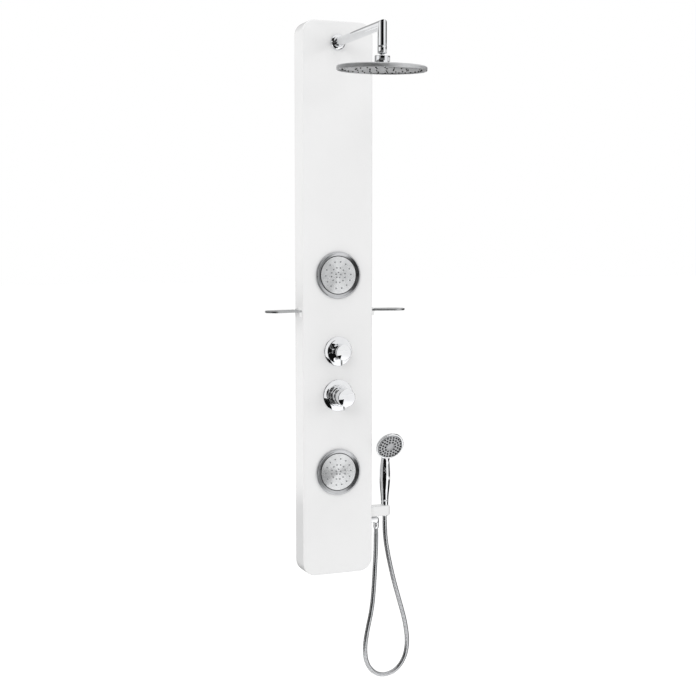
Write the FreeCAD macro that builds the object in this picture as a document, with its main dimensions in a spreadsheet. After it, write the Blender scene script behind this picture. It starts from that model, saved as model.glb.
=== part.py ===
import FreeCAD, Part

import math
import os

import Sketcher

# Shower panel column. Millimetres, X to the viewer's right, Y into the wall, Z up.
# The origin is the middle of the upper wall bracket's two screw holes, on the wall's surface.
# Levels are heights above the bottom edge of the casing, and "out" means away from the wall.

Vector = FreeCAD.Vector
Rotation = FreeCAD.Rotation

driving_sizes = {
    # casing
    "panel_height": 1340, "panel_width": 181, "panel_depth": 55, "panel_corner": 32,
    "panel_edge": 3, "panel_wall": 2.5,
    # wall brackets and the rail that hangs on the upper one
    "mount_level": 1130, "bracket_width": 130, "bracket_spacing": 90, "bracket_hole": 3,
    "bracket_sheet": 2, "bracket_half_height": 18, "bracket_step": 9, "bracket_lip": 14,
    "rail_height": 34, "rail_tab_depth": 22,
    "foot_level": 60, "foot_width": 100, "foot_spacing": 60, "foot_tab_depth": 32,
    "lock_screw_radius": 2.1, "lock_screw_head": 4.5, "lock_screw_cap": 2.6, "lock_screw_end": 2,
    "lock_screw_back": 20, "hook_gap": 0.3,
    # rain head arm
    "arm_level": 1290, "arm_reach": 264, "arm_radius": 10.5, "arm_bore": 8.5, "arm_seam_level": 1245,
    "flange_radius": 19.5, "flange_height": 9, "arm_tail": 20,
    "arm_elbow_radius": 16, "arm_elbow_depth": 16, "arm_elbow_drop": 27,
    "arm_nut_radius": 19, "arm_nut_height": 6, "hole_gap": 0.5, "seat_gap": 0.1,
    # ball joint over the rain head
    "ball_level": 1214, "ball_radius": 9, "ball_neck": 4.5, "ball_gap": 0.3, "ball_bore": 3,
    "neck_length": 14,
    "ring_wall": 1.7, "ring_near": 2.4, "ring_far": 7, "jet_ring_near": 2, "jet_ring_far": 5.4,
    "head_nut_radius": 17.5, "head_nut_rise": 9.8, "head_nut_drop": 9.3,
    # rain head
    "head_radius": 100, "head_rim": 10, "head_dome": 3.7, "head_sheet": 1.5, "head_hub": 15,
    "head_plate_radius": 95, "head_plate": 2, "head_recess": 1.2, "head_lean": 2.8,
    "nozzle_radius": 2.6, "nozzle_tip": 1.5, "nozzle_height": 2.4,
    # body jets
    "upper_jet_level": 736, "lower_jet_level": 254, "jet_hole": 52, "jet_ring_radius": 57,
    "jet_ring_height": 6.5, "jet_face_radius": 46, "jet_face_out": 4, "jet_plate": 2.2,
    "jet_pivot_in": 8, "jet_gap": 0.35, "jet_sleeve_in": 18, "jet_skirt": 2,
    "jet_bowl_back": 18, "jet_cup_depth": 30, "jet_cup_wall": 2.5, "jet_ball": 7.5, "jet_stem": 4.2,
    "jet_stem_bore": 2.4,
    "jet_block_radius": 12, "jet_block_depth": 16, "jet_nipple_drop": 34, "jet_nipple_radius": 5,
    # valves
    "diverter_level": 551, "mixer_level": 443, "bonnet_radius": 15, "bonnet_collar": 20,
    "bonnet_out": 7, "valve_in": 14, "valve_back": 42, "valve_radius": 21,
    "spindle_radius": 4, "spindle_gap": 0.05, "spindle_in": 12,
    "diverter_plate_radius": 36, "mixer_plate_radius": 39, "plate_dome": 8, "plate_edge": 1.6,
    "diverter_knob_radius": 19.5, "diverter_knob_out": 38, "diverter_peg_out": 24,
    "mixer_knob_radius": 22, "mixer_knob_out": 58, "mixer_peg_out": 40, "knob_gap": 0.5,
    "knob_crown": 1.2, "knob_round": 1.6, "peg_radius": 2.4, "peg_reach": 32.5, "peg_root": 3,
    "sleeve_radius": 26, "sleeve_step_radius": 23.5, "sleeve_step": 16, "sleeve_out": 31,
    "port_axis": 26, "branch_reach": 34, "branch_radius": 9, "branch_half": 22,
    "mixer_arm_reach": 42, "mixer_arm_radius": 11, "socket_radius": 13.5, "socket_drop": 26,
    "inlet_radius": 10.4775, "inlet_length": 14, "inlet_bore": 6.5, "inlet_collar": 4,
    "link_radius": 8, "port_radius": 10, "port_reach": 26,
    # hoses inside the casing
    "inner_hose": 6, "ferrule_radius": 8, "ferrule_length": 18, "side_lane": 70,
    # shelves
    "shelf_level": 650, "shelf_thickness": 5, "shelf_reach": 181, "shelf_end_radius": 26,
    "shelf_end_in": 42, "shelf_root_front": 50, "shelf_root_back": 6, "shelf_round": 1.2,
    "socket_width": 32, "socket_in": 35, "socket_above": 3, "socket_below": 11, "socket_out": 7,
    "socket_web": 1.5, "socket_corner": 6, "small_screw": 2, "small_screw_gap": 0.2,
    "small_screw_head": 3.8, "small_screw_cap": 2, "small_screw_stop": 1.5, "small_screw_spread": 18,
    # hand shower holder and hose outlet, both on the right side wall
    "holder_axis_out": 44.5, "holder_axis_in": 32, "holder_level": 131, "holder_height": 25.5,
    "holder_half": 13.5, "holder_slot": 6.8, "holder_round": 3, "holder_screw_depth": 14,
    "holder_screw_down": 6, "holder_screw_apart": 6,
    "outlet_level": 121, "outlet_axis_out": 21, "outlet_radius": 7.3, "outlet_drop": 7.5,
    "outlet_nut_radius": 11, "outlet_nut_height": 5, "outlet_tail": 14, "outlet_inner_reach": 8,
    # hand shower
    "hose_nut_top": 9.2, "hose_nut_foot": 7.2, "hose_nut_length": 40, "hose_nut_below": 3,
    "hose_nut_gap": 0.3, "handle_foot": 9.4, "handle_waist": 10.8, "handle_belly": 13.7,
    "handle_neck": 10.4, "handle_length": 116, "handle_belly_rise": 64, "handle_waist_rise": 22,
    "spray_radius": 36, "spray_depth": 21, "spray_out": 34, "spray_rise": 141, "spray_tilt": 25,
    "dial_radius": 31, "dial_gap": 0.3, "dial_depth": 5, "dial_hub": 4, "dial_hub_depth": 12,
    "dial_proud": 0.8,
    # shower hose
    "hose_radius": 5.2, "hose_rib": 5.6, "hose_bore": 3.6, "end_nut_radius": 6.8, "end_nut_length": 15,
    "hose_bottom": 281,
}
rib_count = 36
nozzle_sides = 6
rain_rings = ((16, 4), (40, 10), (64, 16), (88, 30))
jet_rings = ((6, 3), (18, 6), (32.5, 9))
dial_rings = ((12, 4), (23.5, 9))

doc = FreeCAD.newDocument("shower_panel_column")
sheet = doc.addObject("Spreadsheet::Sheet", "Sizes")
for row, (alias, amount) in enumerate(driving_sizes.items(), start=1):
    sheet.set("A%d" % row, alias)
    sheet.set("B%d" % row, str(amount))
    sheet.setAlias("B%d" % row, alias)
doc.recompute()


class Size:
    """A length in mm together with the expression that binds it to the sheet."""

    def __init__(self, value, text):
        self.value = value
        self.text = text

    def __add__(self, other):
        return Size(self.value + number(other), "(%s + %s)" % (self.text, words(other)))

    def __sub__(self, other):
        return Size(self.value - number(other), "(%s - %s)" % (self.text, words(other)))

    def __mul__(self, other):
        return Size(self.value * number(other), "(%s * %s)" % (self.text, words(other)))

    def __truediv__(self, other):
        return Size(self.value / number(other), "(%s / %s)" % (self.text, words(other)))

    def __radd__(self, other):
        return Size(number(other) + self.value, "(%s + %s)" % (words(other), self.text))

    def __rsub__(self, other):
        return Size(number(other) - self.value, "(%s - %s)" % (words(other), self.text))

    def __rmul__(self, other):
        return self * other

    def __neg__(self):
        return Size(-self.value, "(0 - %s)" % self.text)


class Sheet:
    """Reads the driving sizes by name."""

    def __getattr__(self, alias):
        return Size(float(sheet.get(alias)), "Sizes.%s" % alias)


class Arc:
    """A round stretch of an outline. Its centre lies left of the way unless left is False."""

    def __init__(self, radius, left=True):
        self.radius = radius
        self.left = left


def number(size):
    return size.value if isinstance(size, Size) else float(size)


def words(size):
    return size.text if isinstance(size, Size) else repr(float(size))


def leg(hypotenuse, side):
    """The other short side of a right triangle: how wide a sphere is at some height."""
    value = math.sqrt(number(hypotenuse) ** 2 - number(side) ** 2)
    return Size(value, "sqrt(%s ^ 2 - (%s) ^ 2)" % (words(hypotenuse), words(side)))


def bind(thing, prop, size):
    """Set a property and tie it to the sheet."""
    if isinstance(size, Size):
        thing.setExpression(prop, size.text)


size = Sheet()
pieces = []
up = Rotation()
down = Rotation(Vector(1, 0, 0), 180)
out = Rotation(Vector(1, 0, 0), 90)
inward = Rotation(Vector(1, 0, 0), -90)
right = Rotation(Vector(0, 1, 0), 90)
left = Rotation(Vector(0, 1, 0), -90)


def level(height):
    """The Z of a height above the casing's bottom edge."""
    return height - size.mount_level


def front(distance_out):
    """The Y of a distance out from the casing's front plane."""
    return -size.panel_depth - distance_out


def place(thing, spot, turn=up):
    """Put a piece at a spot of the shared frame, tied to the sheet, and turned as a whole."""
    thing.Placement = FreeCAD.Placement(Vector(*[number(part) for part in spot]), turn)
    for axis, part in zip("xyz", spot):
        bind(thing, "Placement.Base." + axis, part)


def keep(thing, name):
    """Mark a finished object as one sub-part of the column."""
    thing.Label = name
    pieces.append(thing)
    return thing


# ---- sketches and features -------------------------------------------------------------------

def sketch_on(body, role="XZ_Plane", offset=0):
    sketch = body.newObject("Sketcher::SketchObject", body.Name + "_sketch")
    plane = next(feature for feature in body.Origin.OriginFeatures if feature.Role == role)
    sketch.AttachmentSupport = [(plane, "")]
    sketch.MapMode = "FlatFace"
    sketch.AttachmentOffset = FreeCAD.Placement(Vector(0, 0, number(offset)), Rotation())
    bind(sketch, "AttachmentOffset.Base.z", offset)
    return sketch


def fix(sketch, kind, places, amount):
    """Add one dimension to a sketch, tied to the sheet."""
    index = sketch.addConstraint(Sketcher.Constraint(kind, *places, number(amount)))
    bind(sketch, "Constraints[%d]" % index, amount)


def draw(sketch, outline):
    """Draw a closed outline of points with arcs between them, every size of it tied to the sheet."""
    points = [item for item in outline if not isinstance(item, Arc)]
    bends = {}
    seen = 0
    for item in outline:
        if isinstance(item, Arc):
            bends[seen - 1] = item
        else:
            seen += 1
    first = sketch.GeometryCount
    ends = []
    for index, point in enumerate(points):
        following = points[(index + 1) % len(points)]
        start = Vector(number(point[0]), number(point[1]), 0)
        stop = Vector(number(following[0]), number(following[1]), 0)
        if index not in bends:
            sketch.addGeometry(Part.LineSegment(start, stop), False)
            ends.append((1, 2))
            continue
        bend = bends[index]
        chord = stop - start
        rise = math.sqrt(max(number(bend.radius) ** 2 - chord.Length ** 2 / 4, 0))
        side = Vector(-chord.y, chord.x, 0).normalize() * (rise if bend.left else -rise)
        centre = (start + stop) / 2 + side
        one, other = (start, stop) if bend.left else (stop, start)
        begin = math.atan2(one.y - centre.y, one.x - centre.x)
        finish = math.atan2(other.y - centre.y, other.x - centre.x)
        if finish <= begin:
            finish += 2 * math.pi
        circle = Part.Circle(centre, Vector(0, 0, 1), number(bend.radius))
        sketch.addGeometry(Part.ArcOfCircle(circle, begin, finish), False)
        ends.append((1, 2) if bend.left else (2, 1))
    for index in range(len(points)):
        following = (index + 1) % len(points)
        sketch.addConstraint(Sketcher.Constraint("Coincident", first + index, ends[index][1],
                                                 first + following, ends[following][0]))
    for index, point in enumerate(points):
        fix(sketch, "DistanceX", (-1, 1, first + index, ends[index][0]), point[0])
        fix(sketch, "DistanceY", (-1, 1, first + index, ends[index][0]), point[1])
        if index in bends:
            fix(sketch, "Radius", (first + index,), bends[index].radius)


def draw_circle(sketch, across, along, radius):
    index = sketch.addGeometry(
        Part.Circle(Vector(number(across), number(along), 0), Vector(0, 0, 1), number(radius)), False)
    fix(sketch, "DistanceX", (-1, 1, index, 3), across)
    fix(sketch, "DistanceY", (-1, 1, index, 3), along)
    fix(sketch, "Radius", (index,), radius)


def new_body(name):
    return keep(doc.addObject("PartDesign::Body", name), name)


def revolve(body, outline):
    """Turn an outline of (radius, height) points about the body's own upright axis."""
    sketch = sketch_on(body)
    draw(sketch, outline)
    feature = body.newObject("PartDesign::Revolution", body.Name + "_turned")
    feature.Profile = sketch
    feature.ReferenceAxis = (sketch, ["V_Axis"])
    feature.Angle = 360
    return feature


def turned(name, outline, spot, turn=up):
    """A round piece: an outline revolved, then put in place."""
    body = new_body(name)
    revolve(body, outline)
    place(body, spot, turn)
    return body


def pad(body, sketch, length, midplane=False):
    feature = body.newObject("PartDesign::Pad", body.Name + "_pad")
    feature.Profile = sketch
    feature.Length = number(length)
    bind(feature, "Length", length)
    feature.Midplane = midplane
    return feature


def pocket(body, sketch, length, reversed_way=False):
    """Cut a sketch into the body and make sure that it took material away."""
    doc.recompute()
    before = body.Shape.Volume
    feature = body.newObject("PartDesign::Pocket", body.Name + "_cut")
    feature.Profile = sketch
    feature.Length = number(length)
    bind(feature, "Length", length)
    feature.Reversed = reversed_way
    doc.recompute()
    if body.Shape.Volume > before - 0.1:
        raise RuntimeError("a pocket of %s cuts nothing" % body.Label)
    return feature


def round_edges(body, feature, radius, wanted):
    """Fillet the edges of a body that a test picks out."""
    doc.recompute()
    names = ["Edge%d" % (index + 1) for index, edge in enumerate(feature.Shape.Edges) if wanted(edge)]
    fillet = body.newObject("PartDesign::Fillet", body.Name + "_round")
    fillet.Base = (feature, names)
    fillet.Radius = number(radius)
    bind(fillet, "Radius", radius)
    return fillet


# ---- primitives and booleans -----------------------------------------------------------------

def cylinder(radius, length, spot, turn=up):
    rod = doc.addObject("Part::Cylinder", "rod")
    rod.Radius = number(radius)
    rod.Height = number(length)
    bind(rod, "Radius", radius)
    bind(rod, "Height", length)
    place(rod, spot, turn)
    return rod


def sphere(radius, spot):
    ball = doc.addObject("Part::Sphere", "ball")
    ball.Radius = number(radius)
    bind(ball, "Radius", radius)
    place(ball, spot)
    return ball


def box(spans, spot):
    block = doc.addObject("Part::Box", "block")
    for prop, span in zip(("Length", "Width", "Height"), spans):
        setattr(block, prop, number(span))
        bind(block, prop, span)
    place(block, spot)
    return block


def hexagon(radius, length, spot, turn=up):
    prism = doc.addObject("Part::Prism", "prism")
    prism.Polygon = 6
    prism.Circumradius = number(radius)
    prism.Height = number(length)
    bind(prism, "Circumradius", radius)
    bind(prism, "Height", length)
    place(prism, spot, turn)
    return prism


def fuse(*things):
    union = doc.addObject("Part::MultiFuse", "union")
    union.Shapes = list(things)
    union.Refine = True
    return union


def cut(base, *tools):
    difference = doc.addObject("Part::Cut", "difference")
    difference.Base = base
    difference.Tool = tools[0] if len(tools) == 1 else fuse(*tools)
    return difference


def group(*things):
    """Identical separate solids that share one sub-part."""
    several = doc.addObject("Part::Compound", "several")
    several.Links = list(things)
    return several


def hexagon_nut(name, radius, hole, height, spot, turn):
    """A flat six-sided nut; the radius is to its corners."""
    return keep(cut(hexagon(radius, height, spot, turn), cylinder(hole, height, spot, turn)), name)


def shaped(name, shape):
    """A sub-part whose form is a sweep or a loft that the code works out."""
    feature = doc.addObject("Part::Feature", name)
    feature.Shape = shape
    return keep(feature, name)


# ---- routes for pipes and hoses ----------------------------------------------------------------

def route(points, share=0.45):
    """A wire of straight runs joined by tangent arcs, each as large as its two runs allow."""
    spots = [Vector(*[number(part) for part in point]) for point in points]
    edges = []
    radii = []
    at = spots[0]
    for before, corner, after in zip(spots, spots[1:], spots[2:]):
        run_in = corner - before
        run_out = after - corner
        turn = run_in.getAngle(run_out)
        setback = share * min(run_in.Length, run_out.Length)
        radius = setback / math.tan(turn / 2)
        enter = corner - run_in.normalize() * setback
        leave = corner + run_out.normalize() * setback
        inside = (run_out - run_in).normalize()
        middle = corner + inside * (radius / math.cos(turn / 2) - radius)
        edges.append(Part.LineSegment(at, enter).toShape())
        edges.append(Part.Arc(enter, middle, leave).toShape())
        radii.append(radius)
        at = leave
    edges.append(Part.LineSegment(at, spots[-1]).toShape())
    return Part.Wire(edges), radii


def tube(wire, radius):
    """A round rod swept along a wire, its volume compared with section times length."""
    start = wire.Edges[0]
    circle = Part.makeCircle(number(radius), start.valueAt(start.FirstParameter),
                             start.tangentAt(start.FirstParameter))
    solid = wire.makePipeShell([Part.Wire(circle)], True, True)
    expected = math.pi * number(radius) ** 2 * wire.Length
    if abs(solid.Volume / expected - 1) > 0.01:
        raise RuntimeError("a tube's volume is off: %.0f against %.0f" % (solid.Volume, expected))
    return solid


# ---- casing and what hangs it on the wall --------------------------------------------------------

def rounded_rectangle(sketch, half_width, low, high, radius):
    draw(sketch, [
        (radius - half_width, low), (half_width - radius, low), Arc(radius),
        (half_width, low + radius), (half_width, high - radius), Arc(radius),
        (half_width - radius, high), (radius - half_width, high), Arc(radius),
        (-half_width, high - radius), (-half_width, low + radius), Arc(radius),
    ])


def make_casing():
    """The white shell: closed front and sides, open towards the wall, with all its holes."""
    body = new_body("casing")
    half = size.panel_width / 2
    wall = size.panel_wall
    outer = sketch_on(body)
    rounded_rectangle(outer, half, level(0), level(size.panel_height), size.panel_corner)
    block = pad(body, outer, size.panel_depth)
    edge_y = -number(size.panel_depth)
    rounded = round_edges(body, block, size.panel_edge,
                          lambda edge: all(abs(v.Point.y - edge_y) < 0.01 for v in edge.Vertexes))
    body.Tip = rounded
    hollow = sketch_on(body)
    rounded_rectangle(hollow, half - wall, level(wall), level(size.panel_height - wall),
                      size.panel_corner - wall)
    pocket(body, hollow, size.panel_depth - wall, reversed_way=True)
    holes = sketch_on(body, offset=size.panel_depth)
    draw_circle(holes, 0, level(size.arm_level), size.arm_radius + size.hole_gap)
    for height in (size.upper_jet_level, size.lower_jet_level):
        draw_circle(holes, 0, level(height), size.jet_hole)
    for height in (size.diverter_level, size.mixer_level):
        draw_circle(holes, 0, level(height), size.bonnet_radius + size.hole_gap)
    pocket(body, holes, wall + 1)
    screws = sketch_on(body, "YZ_Plane", half + 1)
    for side in (-0.5, 0.5):
        draw_circle(screws, size.small_screw_spread * side - size.socket_in, shelf_screw_z(),
                    size.small_screw + size.small_screw_gap)
    pocket(body, screws, size.panel_width + 2)
    fittings = sketch_on(body, "YZ_Plane", half + 1)
    draw_circle(fittings, -size.holder_axis_in, level(size.outlet_level), size.outlet_radius + size.hole_gap)
    for height in holder_screw_levels():
        draw_circle(fittings, -size.holder_axis_in, level(height), size.small_screw + size.small_screw_gap)
    pocket(body, fittings, wall + 2)
    foot = sketch_on(body, "XY_Plane", level(-1))
    draw_circle(foot, 0, -size.lock_screw_back, size.lock_screw_radius + size.hole_gap)
    pocket(body, foot, wall + 2, reversed_way=True)


def shelf_screw_z():
    """The shelf screws run through the middle of the socket's part below the plate."""
    return level(size.shelf_level - size.shelf_thickness / 2 - size.socket_below / 2)


def holder_screw_levels():
    upper = size.holder_level + size.holder_height - size.holder_screw_down
    return upper, upper - size.holder_screw_apart


def make_wall_brackets():
    """The upper bracket is a stepped strip with an upright lip; the lower one is an angle."""
    sheet_metal = size.bracket_sheet
    low = -size.bracket_half_height
    top = size.bracket_half_height
    lip_top = top + size.bracket_lip
    step = size.bracket_step
    upper = new_body("upper_wall_bracket")
    outline = sketch_on(upper, "YZ_Plane")
    draw(outline, [(0, low), (0, top), (-step, top), (-step, lip_top), (-step - sheet_metal, lip_top),
                   (-step - sheet_metal, top - sheet_metal), (-sheet_metal, top - sheet_metal),
                   (-sheet_metal, low)])
    pad(upper, outline, size.bracket_width, midplane=True)
    holes = sketch_on(upper)
    for side in (-0.5, 0.5):
        draw_circle(holes, size.bracket_spacing * side, 0, size.bracket_hole)
    pocket(upper, holes, sheet_metal + 1, reversed_way=True)

    rail = new_body("hanger_rail")
    reach = size.panel_width / 2 - size.panel_wall
    inner = -step - sheet_metal - size.hook_gap
    outline = sketch_on(rail, "YZ_Plane")
    face = inner - sheet_metal
    hook_inner = size.hook_gap - step
    hook_outer = hook_inner + sheet_metal
    hook_end = lip_top - size.bracket_lip * 0.6
    foot = lip_top - size.rail_height
    draw(outline, [(inner, foot), (face, foot), (face, lip_top + sheet_metal),
                   (hook_outer, lip_top + sheet_metal), (hook_outer, hook_end), (hook_inner, hook_end),
                   (hook_inner, lip_top), (inner, lip_top)])
    pad(rail, outline, reach * 2, midplane=True)
    tabs = sketch_on(rail, "XY_Plane", foot)
    for side in (-1, 1):
        edge = reach * side
        draw(tabs, [(edge, inner), (edge - sheet_metal * side, inner),
                    (edge - sheet_metal * side, inner - size.rail_tab_depth),
                    (edge, inner - size.rail_tab_depth)])
    pad(rail, tabs, size.rail_height + sheet_metal)

    lower = new_body("lower_wall_bracket")
    bottom = level(size.panel_wall)
    high = level(size.foot_level + size.bracket_half_height)
    outline = sketch_on(lower, "YZ_Plane")
    draw(outline, [(0, bottom), (0, high), (-sheet_metal, high), (-sheet_metal, bottom + sheet_metal),
                   (-size.foot_tab_depth, bottom + sheet_metal), (-size.foot_tab_depth, bottom)])
    pad(lower, outline, size.foot_width, midplane=True)
    holes = sketch_on(lower)
    for side in (-0.5, 0.5):
        draw_circle(holes, size.foot_spacing * side, level(size.foot_level), size.bracket_hole)
    pocket(lower, holes, sheet_metal + 1, reversed_way=True)
    tapped = sketch_on(lower, "XY_Plane", bottom - 1)
    draw_circle(tapped, 0, -size.lock_screw_back, size.lock_screw_radius + size.spindle_gap)
    pocket(lower, tapped, sheet_metal + 2, reversed_way=True)

    screw = size.lock_screw_radius
    head = size.lock_screw_head
    cap = -size.lock_screw_cap
    end = size.panel_wall + sheet_metal + size.lock_screw_end
    turned("lock_screw", [(0, end), (screw, end), (screw, 0), (head, 0), (head, cap / 2),
                          (head + cap / 2, cap), (0, cap)],
           (0, -size.lock_screw_back, level(0)))


# ---- rain head, its arm and its ball joint -------------------------------------------------------

def make_arm():
    """A level tube and a drop tube that meet in a sharp mitre, with flange, nut and inner elbow."""
    spine = doc.addObject("Sketcher::SketchObject", "arm_spine")
    spine.Placement = FreeCAD.Placement(Vector(0, 0, 0), Rotation(Vector(1, 1, 1), 120))
    height = level(size.arm_level)
    start = size.arm_tail - size.panel_depth
    corner = front(size.arm_reach)
    spine.addGeometry(Part.LineSegment(Vector(number(start), number(height), 0),
                                       Vector(number(corner), number(height), 0)), False)
    spine.addGeometry(Part.LineSegment(Vector(number(corner), number(height), 0),
                                       Vector(number(corner), number(level(size.arm_seam_level)), 0)), False)
    spine.addConstraint(Sketcher.Constraint("Coincident", 0, 2, 1, 1))
    fix(spine, "DistanceX", (-1, 1, 0, 1), start)
    fix(spine, "DistanceY", (-1, 1, 0, 1), height)
    fix(spine, "DistanceX", (-1, 1, 0, 2), corner)
    fix(spine, "DistanceY", (-1, 1, 0, 2), height)
    fix(spine, "DistanceX", (-1, 1, 1, 2), corner)
    fix(spine, "DistanceY", (-1, 1, 1, 2), level(size.arm_seam_level))
    shells = []
    for radius in (size.arm_radius, size.arm_bore):
        section = doc.addObject("Part::Circle", "arm_section")
        section.Radius = number(radius)
        bind(section, "Radius", radius)
        place(section, (0, start, height), out)
        sweep = doc.addObject("Part::Sweep", "arm_sweep")
        sweep.Sections = [section]
        sweep.Spine = (spine, ["Edge1", "Edge2"])
        sweep.Solid = True
        sweep.Transition = "Right corner"
        shells.append(sweep)
    keep(cut(*shells), "shower_arm")
    hole = size.arm_radius + size.seat_gap
    flange = size.flange_radius
    rise = size.flange_height
    turned("arm_flange", [(hole, 0), (flange, 0), (flange, rise / 4), Arc(flange - hole),
                          (hole + rise / 4, rise), (hole, rise)],
           (0, front(0), height), out)
    spot = (0, front(-size.panel_wall), height)
    hexagon_nut("arm_locknut", size.arm_nut_radius, hole, size.arm_nut_height, spot, inward)
    cap = cylinder(size.arm_elbow_radius, size.arm_elbow_depth, (0, front(-size.arm_tail), height), inward)
    nipple = cylinder(size.ferrule_radius, size.arm_elbow_drop, (0, -size.port_axis, height), down)
    keep(fuse(cap, nipple), "arm_elbow")


def make_ball_joint():
    """The stem with its ball, the friction ring round the ball and the swivel nut over both."""
    where = (0, front(size.arm_reach), level(size.ball_level))
    ball = size.ball_radius
    neck = size.ball_neck
    bore = size.ball_bore
    seam = size.arm_seam_level - size.ball_level
    arm = size.arm_radius
    neck_end = size.neck_length
    groove = arm - 0.6
    turned("arm_tip", [(bore, -leg(ball, bore)), Arc(ball), (ball, 0), Arc(ball), (neck, leg(ball, neck)),
                       (neck, neck_end), (arm, neck_end + 4), (arm, seam - 1.2), (groove, seam - 0.6),
                       (groove, seam), (bore, seam)], where)
    gap = size.ball_gap
    seat = ball + gap
    outside = seat + size.ring_wall
    ring_top = -size.ring_near
    ring_foot = -size.ring_far
    turned("ball_friction_ring", [
        (leg(seat, ring_foot), ring_foot), (leg(outside, ring_foot), ring_foot), Arc(outside),
        (leg(outside, ring_top), ring_top), (leg(seat, ring_top), ring_top), Arc(seat, False)], where)
    pocket_radius = outside + gap
    nut = size.head_nut_radius
    high = size.head_nut_rise
    low = -size.head_nut_drop
    mouth = ball - 1.4
    bevel = 1.2
    turned("head_nut", [
        (pocket_radius, low), (nut - bevel, low), (nut, low + bevel), (nut, high - bevel),
        (nut - bevel, high), (mouth + 1.9, high), (mouth, leg(seat, mouth)), Arc(seat, False),
        (leg(seat, 1), 1), (pocket_radius, 1)], on_head_axis(0), head_turn())


def nozzle(radius, tip, height):
    """One blunt nozzle as a six-sided taper that stands on its base."""
    def ring(span, rise):
        corners = [Vector(span * math.cos(2 * math.pi * step / nozzle_sides),
                          span * math.sin(2 * math.pi * step / nozzle_sides), rise)
                   for step in range(nozzle_sides + 1)]
        return Part.makePolygon(corners)
    return Part.makeLoft([ring(radius, 0), ring(tip, height)], True, True)


def nozzles(name, rings, spot, turn, radius, tip, height):
    """Rings of nozzles round an axis, all standing on one flat plate."""
    whole = FreeCAD.Placement(Vector(*[number(part) for part in spot]), turn)
    single = nozzle(number(radius), number(tip), number(height))
    solids = []
    for ring_radius, count in rings:
        for step in range(count):
            angle = 2 * math.pi * step / count
            solid = single.copy()
            offset = Vector(ring_radius * math.cos(angle), ring_radius * math.sin(angle), 0)
            solid.Placement = whole.multiply(FreeCAD.Placement(offset, Rotation()))
            solids.append(solid)
    return shaped(name, Part.makeCompound(solids))


def head_turn():
    """The rain head leans about the ball, with its near side a little lower."""
    return Rotation(Vector(1, 0, 0), number(size.head_lean))


def on_head_axis(drop):
    """A spot on the leaning head's axis, this far below the ball's centre."""
    lean = math.radians(number(size.head_lean))
    back = Size(math.sin(lean), "sin(%s)" % words(size.head_lean)) * drop
    fall = Size(math.cos(lean), "cos(%s)" % words(size.head_lean)) * drop
    return 0, front(size.arm_reach) + back, level(size.ball_level) - fall


def head_foot():
    """How far the rain head's lower rim lies below the ball's centre."""
    return size.head_nut_drop + size.head_dome + size.head_rim


def make_rain_head():
    """A flat shell with a low dome, closed below by the nozzle plate."""
    rim = size.head_radius
    high = size.head_rim
    top = high + size.head_dome
    skin = size.head_sheet
    hub = size.head_hub
    plate = size.head_plate_radius
    recess = size.head_recess
    where = on_head_axis(head_foot())
    edge = 3.5
    turned("rain_head_shell", [
        (size.ball_bore, top), (size.ball_bore, top - skin * 2), (hub, top - skin * 2),
        (plate - edge, high - skin), (plate, high - skin - edge / 2),
        (plate, 0), (rim - 1, 0), (rim, 1), (rim, high - edge), Arc(edge),
        (rim - edge, high), (hub + 6, top - 0.8), (hub + 3, top)], where, head_turn())
    turned("rain_head_plate", [(0, recess), (plate, recess), (plate, recess + size.head_plate),
                               (0, recess + size.head_plate)], where, head_turn())
    nozzles("rain_head_nozzles", rain_rings, on_head_axis(head_foot() - recess), head_turn().multiply(down),
            size.nozzle_radius, size.nozzle_tip, size.nozzle_height)


# ---- body jets ----------------------------------------------------------------------------------

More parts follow.
